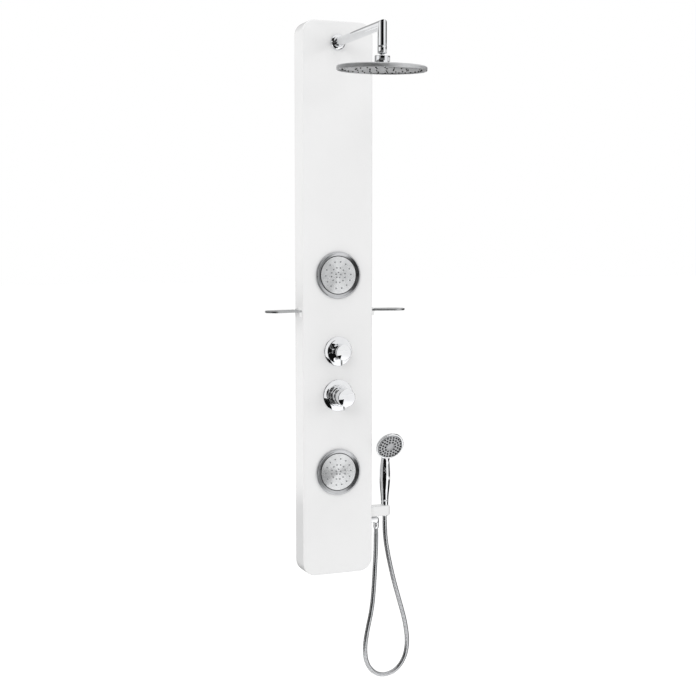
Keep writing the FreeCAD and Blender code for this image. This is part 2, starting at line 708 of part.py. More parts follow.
def make_jet(name, height, nipple_way):
    """A body jet: its face and bowl swivel on a ball stem inside a chrome ring and an inner cup."""
    where = (0, front(0), level(height))
    pivot = -size.jet_pivot_in
    face_out = size.jet_face_out
    face = size.jet_face_radius
    reach = face_out - pivot
    zone = Size(math.hypot(number(face), number(reach)),
                "sqrt(%s ^ 2 + %s ^ 2)" % (words(face), words(reach)))
    socket = zone + size.jet_gap
    ring = size.jet_ring_radius
    ring_out = size.jet_ring_height
    sleeve = size.jet_hole - size.hole_gap
    deep = -size.jet_sleeve_in
    lip = ring_out - 1.2
    turned(name + "_jet_bezel", [
        (sleeve, 0), (ring, 0), (ring, 1.2), Arc(6.5), (ring - 7, ring_out),
        (leg(socket, lip - pivot) + 1, ring_out), (leg(socket, lip - pivot), lip), Arc(socket, False),
        (socket, pivot), Arc(socket, False), (leg(socket, deep - pivot), deep), (sleeve, deep)],
        where, out)
    cup = sleeve + size.jet_cup_wall
    wall = size.jet_cup_wall
    back = -size.jet_cup_depth
    rim = -size.panel_wall
    flare = deep - 1
    back_inner = back + wall
    shell = doc.addObject("PartDesign::Body", name + "_jet_cup_shell")
    revolve(shell, [
        (sleeve, rim), (cup, rim), (cup, flare), (cup - 8, back), (0, back),
        (0, back_inner), (sleeve - 7, back_inner), (sleeve, flare)])
    place(shell, where, out)
    axis_y = front(back - size.jet_block_depth / 2)
    block = cylinder(size.jet_block_radius, size.jet_block_depth, (0, front(back), level(height)), inward)
    nipple = cylinder(size.jet_nipple_radius, size.jet_nipple_drop, (0, axis_y, level(height)),
                      up if nipple_way > 0 else down)
    keep(fuse(shell, block, nipple), name + "_jet_cup")
    stem = size.jet_stem
    ball = size.jet_ball
    bore = size.jet_stem_bore
    turned(name + "_jet_stem", [
        (bore, back_inner), (stem + 3, back_inner), (stem + 3, back_inner + 2), (stem, back_inner + 2),
        (stem, pivot - leg(ball, stem)), Arc(ball), (ball, pivot), Arc(ball),
        (bore, pivot + leg(ball, bore))], where, out)
    seat = ball + size.ball_gap
    outside = seat + size.ring_wall
    near = -size.jet_ring_near
    far = -size.jet_ring_far
    turned(name + "_jet_friction_ring", [
        (leg(seat, far), pivot + far), (leg(outside, far), pivot + far), Arc(outside),
        (leg(outside, near), pivot + near), (leg(seat, near), pivot + near), Arc(seat, False)], where, out)
    plate = face_out - size.jet_plate
    skirt = leg(zone, plate - pivot) - size.jet_skirt
    bowl_back = -size.jet_bowl_back
    floor = bowl_back + size.jet_skirt
    hub_bore = outside + size.ball_gap
    hub = hub_bore + size.jet_skirt
    turned(name + "_jet_bowl", [
        (hub_bore, bowl_back), (leg(zone, bowl_back - pivot), bowl_back), Arc(zone), (zone, pivot), Arc(zone),
        (leg(zone, plate - pivot), plate), (skirt, plate), (skirt, floor), (hub, floor), (hub, pivot + 4),
        (bore + 2, plate), (bore, plate), (bore, pivot + leg(seat, bore)), Arc(seat, False),
        (leg(seat, 1), pivot + 1), (hub_bore, pivot + 1)], where, out)
    turned(name + "_jet_face", [
        (0, plate), (leg(zone, plate - pivot), plate), Arc(zone), (face, face_out), (0, face_out)],
        where, out)
    nozzles(name + "_jet_nozzles", jet_rings, (0, front(face_out), level(height)), out,
            size.nozzle_radius * 0.8, size.nozzle_tip * 0.8, size.nozzle_height * 0.8)


# ---- valves and knobs ---------------------------------------------------------------------------

def dome(name, radius, hole, height):
    """A domed cover disc that lies on the casing's front."""
    edge = size.plate_edge
    rise = size.plate_dome
    turned(name, [(hole, 0), (radius, 0), (radius, edge), Arc(radius * 1.3), (radius * 0.67, rise),
                  (hole, rise)],
           (0, front(0), level(height)), out)


def make_valve_trim(name, height, plate_radius):
    """The cover disc, the bonnet that clamps the valve to the casing, and the spindle in it."""
    bonnet = size.bonnet_radius
    bore = size.spindle_radius + size.spindle_gap
    where = (0, front(0), level(height))
    turned(name + "_bonnet", [
        (bore, size.bonnet_out), (bore, -size.valve_in), (size.bonnet_collar, -size.valve_in),
        (size.bonnet_collar, -size.panel_wall), (bonnet, -size.panel_wall), (bonnet, size.bonnet_out)],
        where, out)
    dome(name + "_escutcheon", plate_radius, bonnet + size.seat_gap, height)


def make_knob(name, height, radius, back, knob_out, peg_out):
    """A round knob with a shallow crown, a peg that points down, and the spindle that it turns."""
    where = (0, front(0), level(height))
    spindle = size.spindle_radius
    crown = size.knob_crown
    corner = size.knob_round
    socket = size.spindle_in
    knob = doc.addObject("PartDesign::Body", name + "_turning")
    revolve(knob, [
        (spindle, back), (radius - 1, back), (radius, back + 1), (radius, knob_out - corner), Arc(corner),
        (radius - corner, knob_out), (radius / 4, knob_out + crown), (0, knob_out + crown),
        (0, back + socket), (spindle, back + socket)])
    place(knob, where, out)
    peg_top = radius - size.peg_root
    peg_spot = (0, front(peg_out), level(height) - peg_top)
    peg = cylinder(size.peg_radius, size.peg_reach - peg_top, peg_spot, down)
    keep(fuse(knob, peg), name + "_knob")
    collar = spindle + 2.5
    collar_front = -size.valve_in - size.knob_gap
    tail = -size.valve_in - size.spindle_in
    turned(name + "_spindle", [
        (0, tail), (collar, tail), (collar, collar_front), (spindle, collar_front), (spindle, back + socket),
        (0, back + socket)], where, out)


def make_diverter():
    """The upper valve: a brass barrel with two upright branches for the four hoses."""
    height = level(size.diverter_level)
    axis = -size.port_axis
    reach = size.branch_reach
    make_valve_trim("diverter", size.diverter_level, size.diverter_plate_radius)
    make_knob("diverter", size.diverter_level, size.diverter_knob_radius, size.plate_dome + size.knob_gap,
              size.diverter_knob_out, size.diverter_peg_out)
    mouth = (0, front(-size.valve_in), height)
    barrel = cylinder(size.valve_radius, size.valve_back - size.valve_in, mouth, inward)
    bar = cylinder(size.port_radius, reach * 2, (-reach, axis, height), right)
    low = height - size.branch_half
    branches = [cylinder(size.branch_radius, size.branch_half * 2, (reach * side, axis, low))
                for side in (-1, 1)]
    foot = cylinder(size.port_radius, size.port_reach, (0, axis, height), down)
    hollow = cylinder(size.spindle_radius + 3, size.spindle_in + 1, mouth, inward)
    keep(cut(fuse(barrel, bar, foot, *branches), hollow), "diverter_valve_body")


def make_mixer():
    """The lower valve: a brass barrel with an arm to the hot and to the cold inlet."""
    height = level(size.mixer_level)
    axis = -size.port_axis
    reach = size.mixer_arm_reach
    make_valve_trim("mixer", size.mixer_level, size.mixer_plate_radius)
    wide = size.sleeve_radius
    narrow = size.sleeve_step_radius
    step = size.sleeve_step
    rise = size.plate_dome
    hole = size.bonnet_radius + size.seat_gap
    turned("mixer_sleeve", [
        (hole, rise), (wide, rise), (wide, step - 1), (wide - 1, step), (narrow, step),
        (narrow, size.sleeve_out - 1), (narrow - 1, size.sleeve_out), (hole, size.sleeve_out)],
        (0, front(0), height), out)
    make_knob("mixer", size.mixer_level, size.mixer_knob_radius, size.sleeve_out + size.knob_gap,
              size.mixer_knob_out, size.mixer_peg_out)
    mouth = (0, front(-size.valve_in), height)
    barrel = cylinder(size.valve_radius + 2, size.valve_back - size.valve_in, mouth, inward)
    bar = cylinder(size.mixer_arm_radius, reach * 2, (-reach, axis, height), right)
    sockets = [cylinder(size.socket_radius, size.socket_drop, (reach * side, axis, height), down)
               for side in (-1, 1)]
    crowns = [sphere(size.socket_radius, (reach * side, axis, height)) for side in (-1, 1)]
    head = cylinder(size.port_radius, size.port_reach, (0, axis, height))
    hollow = cylinder(size.spindle_radius + 3, size.spindle_in + 1, mouth, inward)
    keep(cut(fuse(barrel, bar, head, *sockets, *crowns), hollow), "mixer_valve_body")
    inlets = []
    for side in (-1, 1):
        spot = (reach * side, axis, height - size.socket_drop)
        collar = cylinder(size.socket_radius, size.inlet_collar, spot, down)
        whole = size.inlet_length + size.inlet_collar
        thread = cylinder(size.inlet_radius, whole, spot, down)
        bore = cylinder(size.inlet_bore, whole, spot, down)
        inlets.append(cut(fuse(collar, thread), bore))
    keep(group(*inlets), "supply_inlets")
    foot = height + size.port_reach
    link = level(size.diverter_level) - size.port_reach - foot
    keep(cylinder(size.link_radius, link, (0, axis, foot)), "link_pipe")


# ---- hoses inside the casing --------------------------------------------------------------------

def make_inner_hoses():
    """Four hoses that run up and down the casing beside the jets, a hexagonal crimp on every end."""
    axis = -size.port_axis
    reach = size.branch_reach
    lane = size.side_lane
    top = level(size.diverter_level) + size.branch_half
    bottom = level(size.diverter_level) - size.branch_half
    crimp = size.ferrule_length
    elbow_foot = level(size.arm_level) - size.arm_elbow_drop
    jet_y = front(-size.jet_cup_depth - size.jet_block_depth / 2)
    upper_jet = level(size.upper_jet_level) - size.jet_nipple_drop
    lower_jet = level(size.lower_jet_level) + size.jet_nipple_drop
    outlet = level(size.outlet_level) + size.outlet_tail
    feed_x = outlet_inner_x()
    holder_y = -size.holder_axis_in
    routes = {
        "riser_hose": [
            (reach, axis, top), (reach, axis, top + 34), (lane, axis, top + 82),
            (lane, axis, elbow_foot - 120), (0, axis, elbow_foot - 40), (0, axis, elbow_foot)],
        "upper_jet_hose": [
            (-reach, axis, top), (-reach, axis, top + 36), (0, jet_y, upper_jet - 36), (0, jet_y, upper_jet)],
        "lower_jet_hose": [
            (-reach, axis, bottom), (-reach, axis, bottom - 34), (-lane, axis, bottom - 78),
            (-lane, axis, lower_jet + 77), (0, jet_y, lower_jet + 34), (0, jet_y, lower_jet)],
        "hand_shower_feed_hose": [
            (reach, axis, bottom), (reach, axis, bottom - 34), (lane, axis, bottom - 78),
            (lane, axis, outlet + 90), (feed_x, holder_y, outlet + 36), (feed_x, holder_y, outlet)],
    }
    crimps = []
    for name, points in routes.items():
        wire, radii = route(points)
        print("%s: length %.0f, smallest bend %.0f" % (name, wire.Length, min(radii)))
        hose = tube(wire, size.inner_hose)
        for end, inner in ((points[0], points[1]), (points[-1], points[-2])):
            way = up if number(inner[2]) > number(end[2]) else down
            whole = hexagon(size.ferrule_radius, crimp, end, way)
            core = cylinder(size.inner_hose, crimp, end, way)
            crimps.append(cut(whole, core))
        shaped(name, hose)
    keep(group(*crimps), "hose_ferrules")


# ---- shelves ------------------------------------------------------------------------------------

def make_shelves():
    """A thin swept plate on each side, gripped by a round-topped socket with two hidden screws."""
    half = size.panel_width / 2
    thick = size.shelf_thickness
    under = level(size.shelf_level) - thick / 2
    end = size.shelf_end_radius
    centre_x = size.shelf_reach - end
    root = half + size.socket_web
    sockets = []
    screws = []
    for side, name in ((-1, "left_shelf"), (1, "right_shelf")):
        plate = new_body(name)
        outline = sketch_on(plate, "XY_Plane", under)
        # The two straight edges run tangent to the round end.
        front_x, front_y = tangent_point(centre_x, -size.shelf_end_in, end, root, -size.shelf_root_front, -1)
        back_x, back_y = tangent_point(centre_x, -size.shelf_end_in, end, root, -size.shelf_root_back, 1)
        draw(outline, [
            (root * side, -size.shelf_root_front), (front_x * side, front_y), Arc(end, side > 0),
            (size.shelf_reach * side, -size.shelf_end_in), Arc(end, side > 0),
            (back_x * side, back_y), (root * side, -size.shelf_root_back)])
        plain = pad(plate, outline, thick)
        root_x = number(root)
        plate.Tip = round_edges(
            plate, plain, size.shelf_round,
            lambda edge: abs(edge.BoundBox.ZLength) < 0.01 and
            not all(abs(abs(v.Point.x) - root_x) < 0.01 for v in edge.Vertexes))
        sockets.append(make_shelf_socket(side, half, under, thick))
        for offset in (-0.5, 0.5):
            spot_y = size.small_screw_spread * offset - size.socket_in
            inside = (half - size.panel_wall) * side
            way = right if side > 0 else left
            screws.append(side_screw(inside, spot_y, shelf_screw_z(), way,
                                     size.socket_out - size.small_screw_stop))
    keep(group(*sockets), "shelf_sockets")
    return screws


def side_screw(inside, along, height, way, depth):
    """A screw through a side wall from inside: its head lies on the wall's inner face."""
    shank = cylinder(size.small_screw, size.panel_wall + depth, (inside, along, height), way)
    back = right if way is left else left
    head = cylinder(size.small_screw_head, size.small_screw_cap, (inside, along, height), back)
    return fuse(shank, head)


def tangent_point(centre_x, centre_y, radius, from_x, from_y, side):
    """Where a line from a point touches a circle; side -1 is the touch nearer the front."""
    gap_x = number(centre_x) - number(from_x)
    gap_y = number(centre_y) - number(from_y)
    distance = math.hypot(gap_x, gap_y)
    along = math.atan2(gap_y, gap_x)
    turn = math.asin(number(radius) / distance)
    angle = along + side * (turn + math.pi / 2)
    return (number(centre_x) + number(radius) * math.cos(angle),
            number(centre_y) + number(radius) * math.sin(angle))


def make_shelf_socket(side, half, under, thick):
    body = doc.addObject("PartDesign::Body", "shelf_socket")
    outline = sketch_on(body, "YZ_Plane")
    wide = size.socket_width / 2
    low = under - size.socket_below
    high = under + thick + size.socket_above
    corner = size.socket_corner
    middle = -size.socket_in
    draw(outline, [(middle - wide, low), (middle + wide, low), (middle + wide, high - corner), Arc(corner),
                   (middle + wide - corner, high), (middle - wide + corner, high), Arc(corner),
                   (middle - wide, high - corner)])
    pad(body, outline, size.socket_out)
    slot = sketch_on(body, "YZ_Plane", size.socket_out if side > 0 else 0)
    slot_wide = wide + 2
    draw(slot, [(middle - slot_wide, under), (middle + slot_wide, under), (middle + slot_wide, under + thick),
                (middle - slot_wide, under + thick)])
    pocket(body, slot, size.socket_out - size.socket_web, reversed_way=side < 0)
    holes = sketch_on(body, "YZ_Plane", size.socket_out if side < 0 else 0)
    for offset in (-0.5, 0.5):
        spot_y = size.small_screw_spread * offset - size.socket_in
        draw_circle(holes, spot_y, shelf_screw_z(), size.small_screw)
    pocket(body, holes, size.socket_out - size.small_screw_stop, reversed_way=side > 0)
    place(body, (half if side > 0 else -half - size.socket_out, 0, 0))
    return body


# ---- hand shower side ---------------------------------------------------------------------------

def holder_axis():
    """X and Y of the hand shower's upright axis."""
    return size.panel_width / 2 + size.holder_axis_out, -size.holder_axis_in


def make_holder():
    """A white block on the side wall with a tapered seat and a slot that lets the hose out."""
    axis_x, axis_y = holder_axis()
    half = size.panel_width / 2
    wide = size.holder_half
    body = doc.addObject("PartDesign::Body", "holder_block")
    outline = sketch_on(body, "XY_Plane", level(size.holder_level))
    draw(outline, [(half, axis_y - wide), (axis_x, axis_y - wide), Arc(wide), (axis_x + wide, axis_y),
                   Arc(wide), (axis_x, axis_y + wide), (half, axis_y + wide)])
    block = pad(body, outline, size.holder_height)
    half_x = number(half)
    body.Tip = round_edges(body, block, size.holder_round,
                           lambda edge: abs(edge.BoundBox.ZLength) < 0.01 and
                           not all(abs(v.Point.x - half_x) < 0.01 for v in edge.Vertexes))
    gap = size.hose_nut_gap
    foot = size.hose_nut_foot
    slope = (size.hose_nut_top - foot) / size.hose_nut_length
    seat = doc.addObject("Part::Cone", "holder_seat")
    low = size.hose_nut_below - 1
    seat.Radius1 = number(foot + gap + slope * low)
    bind(seat, "Radius1", foot + gap + slope * low)
    seat.Radius2 = number(foot + gap + slope * (low + size.holder_height + 2))
    bind(seat, "Radius2", foot + gap + slope * (low + size.holder_height + 2))
    seat.Height = number(size.holder_height + 2)
    bind(seat, "Height", size.holder_height + 2)
    place(seat, (axis_x, axis_y, level(size.holder_level - 1)))
    slot = box((wide + 2, size.holder_slot * 2, size.holder_height + 2),
               (axis_x, axis_y - size.holder_slot, level(size.holder_level - 1)))
    tapped = [cylinder(size.small_screw, size.holder_screw_depth, (half, axis_y, level(height)), right)
              for height in holder_screw_levels()]
    keep(cut(body, seat, slot, *tapped), "hand_shower_holder")
    inside = half - size.panel_wall
    return [side_screw(inside, axis_y, level(height), right, size.holder_screw_depth)
            for height in holder_screw_levels()]


def outlet_inner_x():
    """Where the outlet pipe turns up inside the casing."""
    return size.panel_width / 2 - size.panel_wall - size.outlet_nut_height - size.outlet_inner_reach


def make_outlet():
    """The chrome elbow low on the side wall, its nut inside, and the inner barb for the feed hose."""
    half = size.panel_width / 2
    axis_y = -size.holder_axis_in
    height = level(size.outlet_level)
    radius = size.outlet_radius
    axis_x = half + size.outlet_axis_out
    inner_x = outlet_inner_x()
    stub = cylinder(radius, axis_x - inner_x, (inner_x, axis_y, height), right)
    bend = sphere(radius, (axis_x, axis_y, height))
    leg_down = cylinder(radius, size.outlet_drop, (axis_x, axis_y, height), down)
    inner_bend = sphere(radius, (inner_x, axis_y, height))
    barb = cylinder(radius - 1, size.outlet_tail, (inner_x, axis_y, height))
    keep(fuse(stub, bend, leg_down, inner_bend, barb), "hose_outlet_elbow")
    hexagon_nut("hose_outlet_nut", size.outlet_nut_radius, radius + size.seat_gap, size.outlet_nut_height,
                (half - size.panel_wall, axis_y, height), left)
    bottom = height - size.outlet_drop
    turned("lower_hose_nut", [
        (0, 0), (size.end_nut_radius, 0), (size.end_nut_radius, -size.end_nut_length + 5),
        (size.end_nut_radius - 1.2, -size.end_nut_length), (0, -size.end_nut_length)],
        (axis_x, axis_y, bottom))


def spray_placement():
    """The spray face's own frame: its middle, with Z along the outward normal."""
    axis_x, axis_y = holder_axis()
    rise = size.holder_level - size.hose_nut_below + size.hose_nut_length + size.spray_rise
    spot = (axis_x, axis_y - size.spray_out, level(rise))
    turn = Rotation(Vector(1, 0, 0), 90 + number(size.spray_tilt))
    return spot, turn


def on_spray_axis(distance):
    """A point on the spray face's axis, this far out from the face."""
    spot, turn = spray_placement()
    face = FreeCAD.Placement(Vector(*[number(part) for part in spot]), turn)
    return face.multVec(Vector(0, 0, number(distance)))


def make_hand_shower():
    """A lofted handle that flows into a round head, with a spray dial that turns in its face."""
    axis_x, axis_y = holder_axis()
    nut_foot = level(size.holder_level) - size.hose_nut_below
    nut_top = nut_foot + size.hose_nut_length
    turned("upper_hose_nut", [
        (0, 0), (size.hose_nut_foot, 0), (size.hose_nut_top, size.hose_nut_length),
        (0, size.hose_nut_length)], (axis_x, axis_y, nut_foot))
    spot, turn = spray_placement()
    sections = []
    stations = [
        (size.handle_foot, 0, 0, 0), (size.handle_waist, size.handle_waist_rise, 0, 0),
        (size.handle_belly, size.handle_belly_rise, 0, 0),
        (size.handle_neck + 1.2, size.handle_length * 0.85, 1.5, 8),
        (size.handle_neck, size.handle_length, 6, 22),
        (size.handle_neck + 1, size.handle_length + 14, 14, 35)]
    for radius, rise, lean_out, lean in stations:
        section = doc.addObject("Part::Circle", "handle_section")
        section.Radius = number(radius)
        bind(section, "Radius", radius)
        place(section, (axis_x, axis_y - lean_out, nut_top + rise), Rotation(Vector(1, 0, 0), lean))
        sections.append(section)
    handle = doc.addObject("Part::Loft", "handle_loft")
    handle.Sections = sections
    handle.Solid = True
    handle.Ruled = False
    rim = size.spray_radius
    deep = -size.spray_depth
    dial = size.dial_radius + size.dial_gap
    floor = -size.dial_depth - size.dial_gap
    hub = size.dial_hub + size.spindle_gap
    head = doc.addObject("PartDesign::Body", "spray_head")
    revolve(head, [
        (0, deep), (12, deep), Arc(58), (rim, -6), (rim, -1.5), Arc(1.5), (rim - 1.5, 0), (dial, 0),
        (dial, floor), (hub, floor), (hub, -size.dial_hub_depth - size.dial_gap),
        (0, -size.dial_hub_depth - size.dial_gap)])
    place(head, spot, turn)
    # The handle stops where the hollow of the dial begins.
    clearing = cylinder(dial, size.spray_depth, on_spray_axis(floor), turn)
    well_depth = size.dial_hub_depth + size.dial_gap
    well = cylinder(hub, well_depth, on_spray_axis(-well_depth), turn)
    keep(fuse(head, cut(handle, clearing, well)), "hand_shower")
    dial_out = size.dial_radius
    proud = size.dial_proud
    turned("spray_dial", [
        (0, -size.dial_hub_depth), (size.dial_hub, -size.dial_hub_depth), (size.dial_hub, -size.dial_depth),
        (dial_out, -size.dial_depth), (dial_out, -proud), (dial_out - proud * 2, proud), (0, proud)],
        spot, turn)
    nozzles("spray_nozzles", dial_rings, on_spray_axis(proud), turn,
            size.nozzle_radius * 0.75, size.nozzle_tip * 0.75, size.nozzle_height * 0.6)


def make_shower_hose():
    """The metal hose: a bore and raised ribs along a loop that hangs below the casing."""
    half = size.panel_width / 2
    start_x = half + size.outlet_axis_out
    end_x, depth = holder_axis()
    start_z = level(size.outlet_level) - size.outlet_drop - size.end_nut_length
    end_z = level(size.holder_level) - size.hose_nut_below
    bottom = level(0) - size.hose_bottom
    low = number(bottom)
    near = number(depth)
    points = [
        (start_x, depth, start_z), (start_x, depth, start_z - 44),
        (108.5, near - 0.5, low + 282), (105, near - 1.5, low + 224), (99, near - 3, low + 172),
        (86, near - 5, low + 122), (78, near - 6, low + 76), (83, near - 7, low + 34),
        (110, near - 8, low + 3), (151, near - 8, low + 1), (184, near - 7, low + 27),
        (198, near - 6, low + 72), (191, near - 5, low + 131), (175, near - 3, low + 188),
        (158, near - 1.5, low + 248), (143.5, near - 0.5, low + 312), (end_x, depth, end_z - 44),
        (end_x, depth, end_z),
    ]
    wire, radii = route(points)
    print("shower hose: length %.0f, bend radii %s" % (wire.Length, " ".join("%.0f" % r for r in radii)))
    lengths = [edge.Length for edge in wire.Edges]
    edges = wire.Edges

    def station(distance, radius):
        """A circle square to the route at some distance along it, its X axis kept steady."""
        index = 0
        while index < len(edges) - 1 and distance > lengths[index]:
            distance -= lengths[index]
            index += 1
        edge = edges[index]
        where = edge.getParameterByLength(min(distance, lengths[index]))
        along = edge.tangentAt(where)
        steady = Vector(0, 1, 0)
        turn = Rotation(steady, along.cross(steady), along, "ZXY")
        circle = Part.makeCircle(radius)
        circle.Placement = FreeCAD.Placement(edge.valueAt(where), turn)
        return Part.Wire(circle)

    thin = number(size.hose_radius)
    thick = number(size.hose_rib)
    end_run = 2 * thin
    pitch = (wire.Length - 2 * end_run) / rib_count
    circles = [station(0, thin)]
    for rib in range(rib_count):
        begin = end_run + rib * pitch
        circles.append(station(begin, thin))
        circles.append(station(begin + pitch * 0.16, thick))
        circles.append(station(begin + pitch * 0.64, thick))
        circles.append(station(begin + pitch * 0.8, thin))
    circles.append(station(wire.Length, thin))
    skin = Part.makeLoft(circles, True, True)
    shaped("shower_hose", skin.cut(tube(wire, size.hose_bore)))


def finish():
    """Check every object, then write one file for each sub-part."""
    doc.recompute()
    for thing in doc.Objects:
        if "Invalid" in thing.State or "Error" in thing.State:
            raise RuntimeError("%s (%s) failed: %s" % (thing.Label, thing.Name, thing.State))
    os.makedirs("parts", exist_ok=True)
    for piece in pieces:
        shape = piece.Shape
        if shape.isNull() or not shape.isValid() or not shape.Solids:
            raise RuntimeError("%s has no valid solid" % piece.Label)
        shape.exportStep("parts/%s.step" % piece.Label)
        print("%-26s %2d solids %10.0f mm3" % (piece.Label, len(shape.Solids), shape.Volume))


make_casing()
make_wall_brackets()
make_arm()
make_ball_joint()
make_rain_head()
make_jet("upper", size.upper_jet_level, -1)
make_jet("lower", size.lower_jet_level, 1)
make_diverter()
make_mixer()
make_inner_hoses()
side_screws = make_shelves()
side_screws += make_holder()
keep(group(*side_screws), "side_screws")
make_outlet()
make_hand_shower()
make_shower_hose()
finish()
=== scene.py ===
import math

import bmesh
import bpy
from mathutils import Matrix, Vector


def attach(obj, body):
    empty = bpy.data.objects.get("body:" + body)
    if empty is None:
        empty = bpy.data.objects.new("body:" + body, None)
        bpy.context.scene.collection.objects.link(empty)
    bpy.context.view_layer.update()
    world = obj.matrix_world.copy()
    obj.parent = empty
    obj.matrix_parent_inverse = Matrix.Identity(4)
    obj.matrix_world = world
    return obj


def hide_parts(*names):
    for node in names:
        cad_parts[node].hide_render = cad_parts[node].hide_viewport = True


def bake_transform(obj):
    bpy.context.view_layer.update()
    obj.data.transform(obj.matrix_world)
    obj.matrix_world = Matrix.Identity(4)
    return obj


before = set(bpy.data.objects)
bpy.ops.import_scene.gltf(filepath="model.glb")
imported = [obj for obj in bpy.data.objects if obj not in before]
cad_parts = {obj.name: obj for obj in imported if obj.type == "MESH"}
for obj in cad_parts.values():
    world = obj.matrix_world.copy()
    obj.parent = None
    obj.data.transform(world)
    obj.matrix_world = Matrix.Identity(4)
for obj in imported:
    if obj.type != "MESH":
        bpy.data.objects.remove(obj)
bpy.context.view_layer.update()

scene = bpy.context.scene
mm = 0.001
mountLevel = 1130
frontOut = 55
upAxis = Vector((0, 0, 1))
outAxis = Vector((0, -1, 0))
rightAxis = Vector((1, 0, 0))


def spot(x, out, level):
    # millimetres from the middle, out from the wall, and up from the casing's bottom edge
    return Vector((x, -out, level - mountLevel)) * mm


# camera and light

cameraSettings = {"place": (-1.1126, -2.8736, -0.3060), "turn": 22, "tilt": 5, "lens": 64.66}
print("camera")
cameraData = bpy.data.cameras.new("camera")
cameraData.lens = cameraSettings["lens"]
cameraData.sensor_width = 36
camera = bpy.data.objects.new("camera", cameraData)
camera.location = cameraSettings["place"]
camera.rotation_euler = (math.radians(90 - cameraSettings["tilt"]), 0, math.radians(-cameraSettings["turn"]))
scene.collection.objects.link(camera)
scene.camera = camera
scene.view_settings.view_transform = "Standard"


# nodes for the materials

def toLinear(colour):
    channels = [int(colour[at:at + 2], 16) / 255 for at in (1, 3, 5)]
    return [c / 12.92 if c <= 0.04045 else ((c + 0.055) / 1.055) ** 2.4 for c in channels] + [1]


def addNode(tree, kind, settings=None, links=None):
    node = tree.nodes.new(kind)
    for name, value in (settings or {}).items():
        setattr(node, name, value)
    for name, value in (links or {}).items():
        if isinstance(value, bpy.types.NodeSocket):
            tree.links.new(value, node.inputs[name])
        else:
            node.inputs[name].default_value = value
    return node


def newMaterial(name, **sockets):
    material = bpy.data.materials.new(name)
    material.use_nodes = True
    shader = material.node_tree.nodes["Principled BSDF"]
    for socket, value in sockets.items():
        shader.inputs[socket.replace("_", " ")].default_value = value
    return material, material.node_tree, shader


def speckle(tree, perMetre, low, high, stretch=(1, 1, 1), detail=3):
    # a value that wanders between two ends over the piece, in the object's own metres
    place = addNode(tree, "ShaderNodeTexCoord")
    scaled = addNode(tree, "ShaderNodeMapping", links={"Vector": place.outputs["Object"], "Scale": stretch})
    noise = addNode(tree, "ShaderNodeTexNoise",
                    links={"Vector": scaled.outputs["Vector"], "Scale": perMetre, "Detail": detail})
    return addNode(tree, "ShaderNodeMapRange", links={
        "Value": noise.outputs["Fac"], "From Min": 0.3, "From Max": 0.7, "To Min": low, "To Max": high,
    }).outputs["Result"]


def tint(tree, shader, value, dark, light):
    mix = addNode(tree, "ShaderNodeMix", {"data_type": "RGBA"}, {"Factor": value})
    mix.inputs["A"].default_value = toLinear(dark)
    mix.inputs["B"].default_value = toLinear(light)
    tree.links.new(mix.outputs["Result"], shader.inputs["Base Color"])


def relief(tree, shader, height, depthMm, strength=1.0):
    bump = addNode(tree, "ShaderNodeBump", links={
        "Height": height, "Distance": depthMm * mm, "Strength": strength})
    tree.links.new(bump.outputs["Normal"], shader.inputs["Normal"])


# materials

def glossAcrylicAbs():
    # acrylic-faced ABS, vacuum formed and polished: an even cool white with a soft mirror over it
    material, tree, shader = newMaterial("glossAcrylicAbs", IOR=1.49)
    tint(tree, shader, speckle(tree, 5, 0, 1), "#EFEFEF", "#F3F3F3")
    tree.links.new(speckle(tree, 30, 0.13, 0.2), shader.inputs["Roughness"])
    relief(tree, shader, speckle(tree, 160, 0, 1), 0.02, 0.25)
    return material


def polishedChrome():
    # brass under bright chrome plate: near-mirror, with the faint unevenness of buffing
    material, tree, shader = newMaterial("polishedChrome", Metallic=1)
    tint(tree, shader, speckle(tree, 25, 0, 1), "#E4E5E7", "#EDEEEF")
    tree.links.new(speckle(tree, 90, 0.025, 0.06), shader.inputs["Roughness"])
    return material


def satinChrome():
    # chrome plate over fine blasting, as on the jet rings: the same metal, but its mirror is a soft glow
    material, tree, shader = newMaterial("satinChrome", Metallic=1)
    tint(tree, shader, speckle(tree, 40, 0, 1), "#BFC0C2", "#CBCCCE")
    tree.links.new(speckle(tree, 200, 0.27, 0.33), shader.inputs["Roughness"])
    return material


def platedAbs():
    # chrome plate on moulded ABS: as bright as the brass pieces, with a little of the mould's waviness
    material, tree, shader = newMaterial("platedAbs", Metallic=1)
    tint(tree, shader, speckle(tree, 40, 0, 1), "#DFE0E2", "#EAEBEC")
    tree.links.new(speckle(tree, 120, 0.04, 0.08), shader.inputs["Roughness"])
    relief(tree, shader, speckle(tree, 60, 0, 1), 0.03, 0.3)
    return material


def spunSteel(name, anisotropy, dull):
    # stainless sheet faced on a lathe: fine rings that draw the light out into a fan from the middle
    material, tree, shader = newMaterial(name, Metallic=1, Anisotropic=anisotropy, Anisotropic_Rotation=0.25)
    tint(tree, shader, speckle(tree, 60, 0, 1), "#D2D3D4", "#DFE0E1")
    tree.links.new(speckle(tree, 300, dull, dull + 0.06), shader.inputs["Roughness"])
    along = addNode(tree, "ShaderNodeTangent", {"direction_type": "UV_MAP", "uv_map": "turnedMap"})
    tree.links.new(along.outputs["Tangent"], shader.inputs["Tangent"])
    # real rings are about 0.1 mm apart, drawn at 0.8 mm so that they show: 7800 radians of wave to the metre
    place = addNode(tree, "ShaderNodeUVMap", {"uv_map": "turnedMap"})
    apart = addNode(tree, "ShaderNodeSeparateXYZ", links={"Vector": place.outputs["UV"]})
    wave = addNode(tree, "ShaderNodeMath", {"operation": "MULTIPLY"}, {0: apart.outputs["Y"], 1: 7800})
    ring = addNode(tree, "ShaderNodeMath", {"operation": "SINE"}, {0: wave.outputs[0]})
    relief(tree, shader, ring.outputs[0], 0.01, 0.2)
    return material


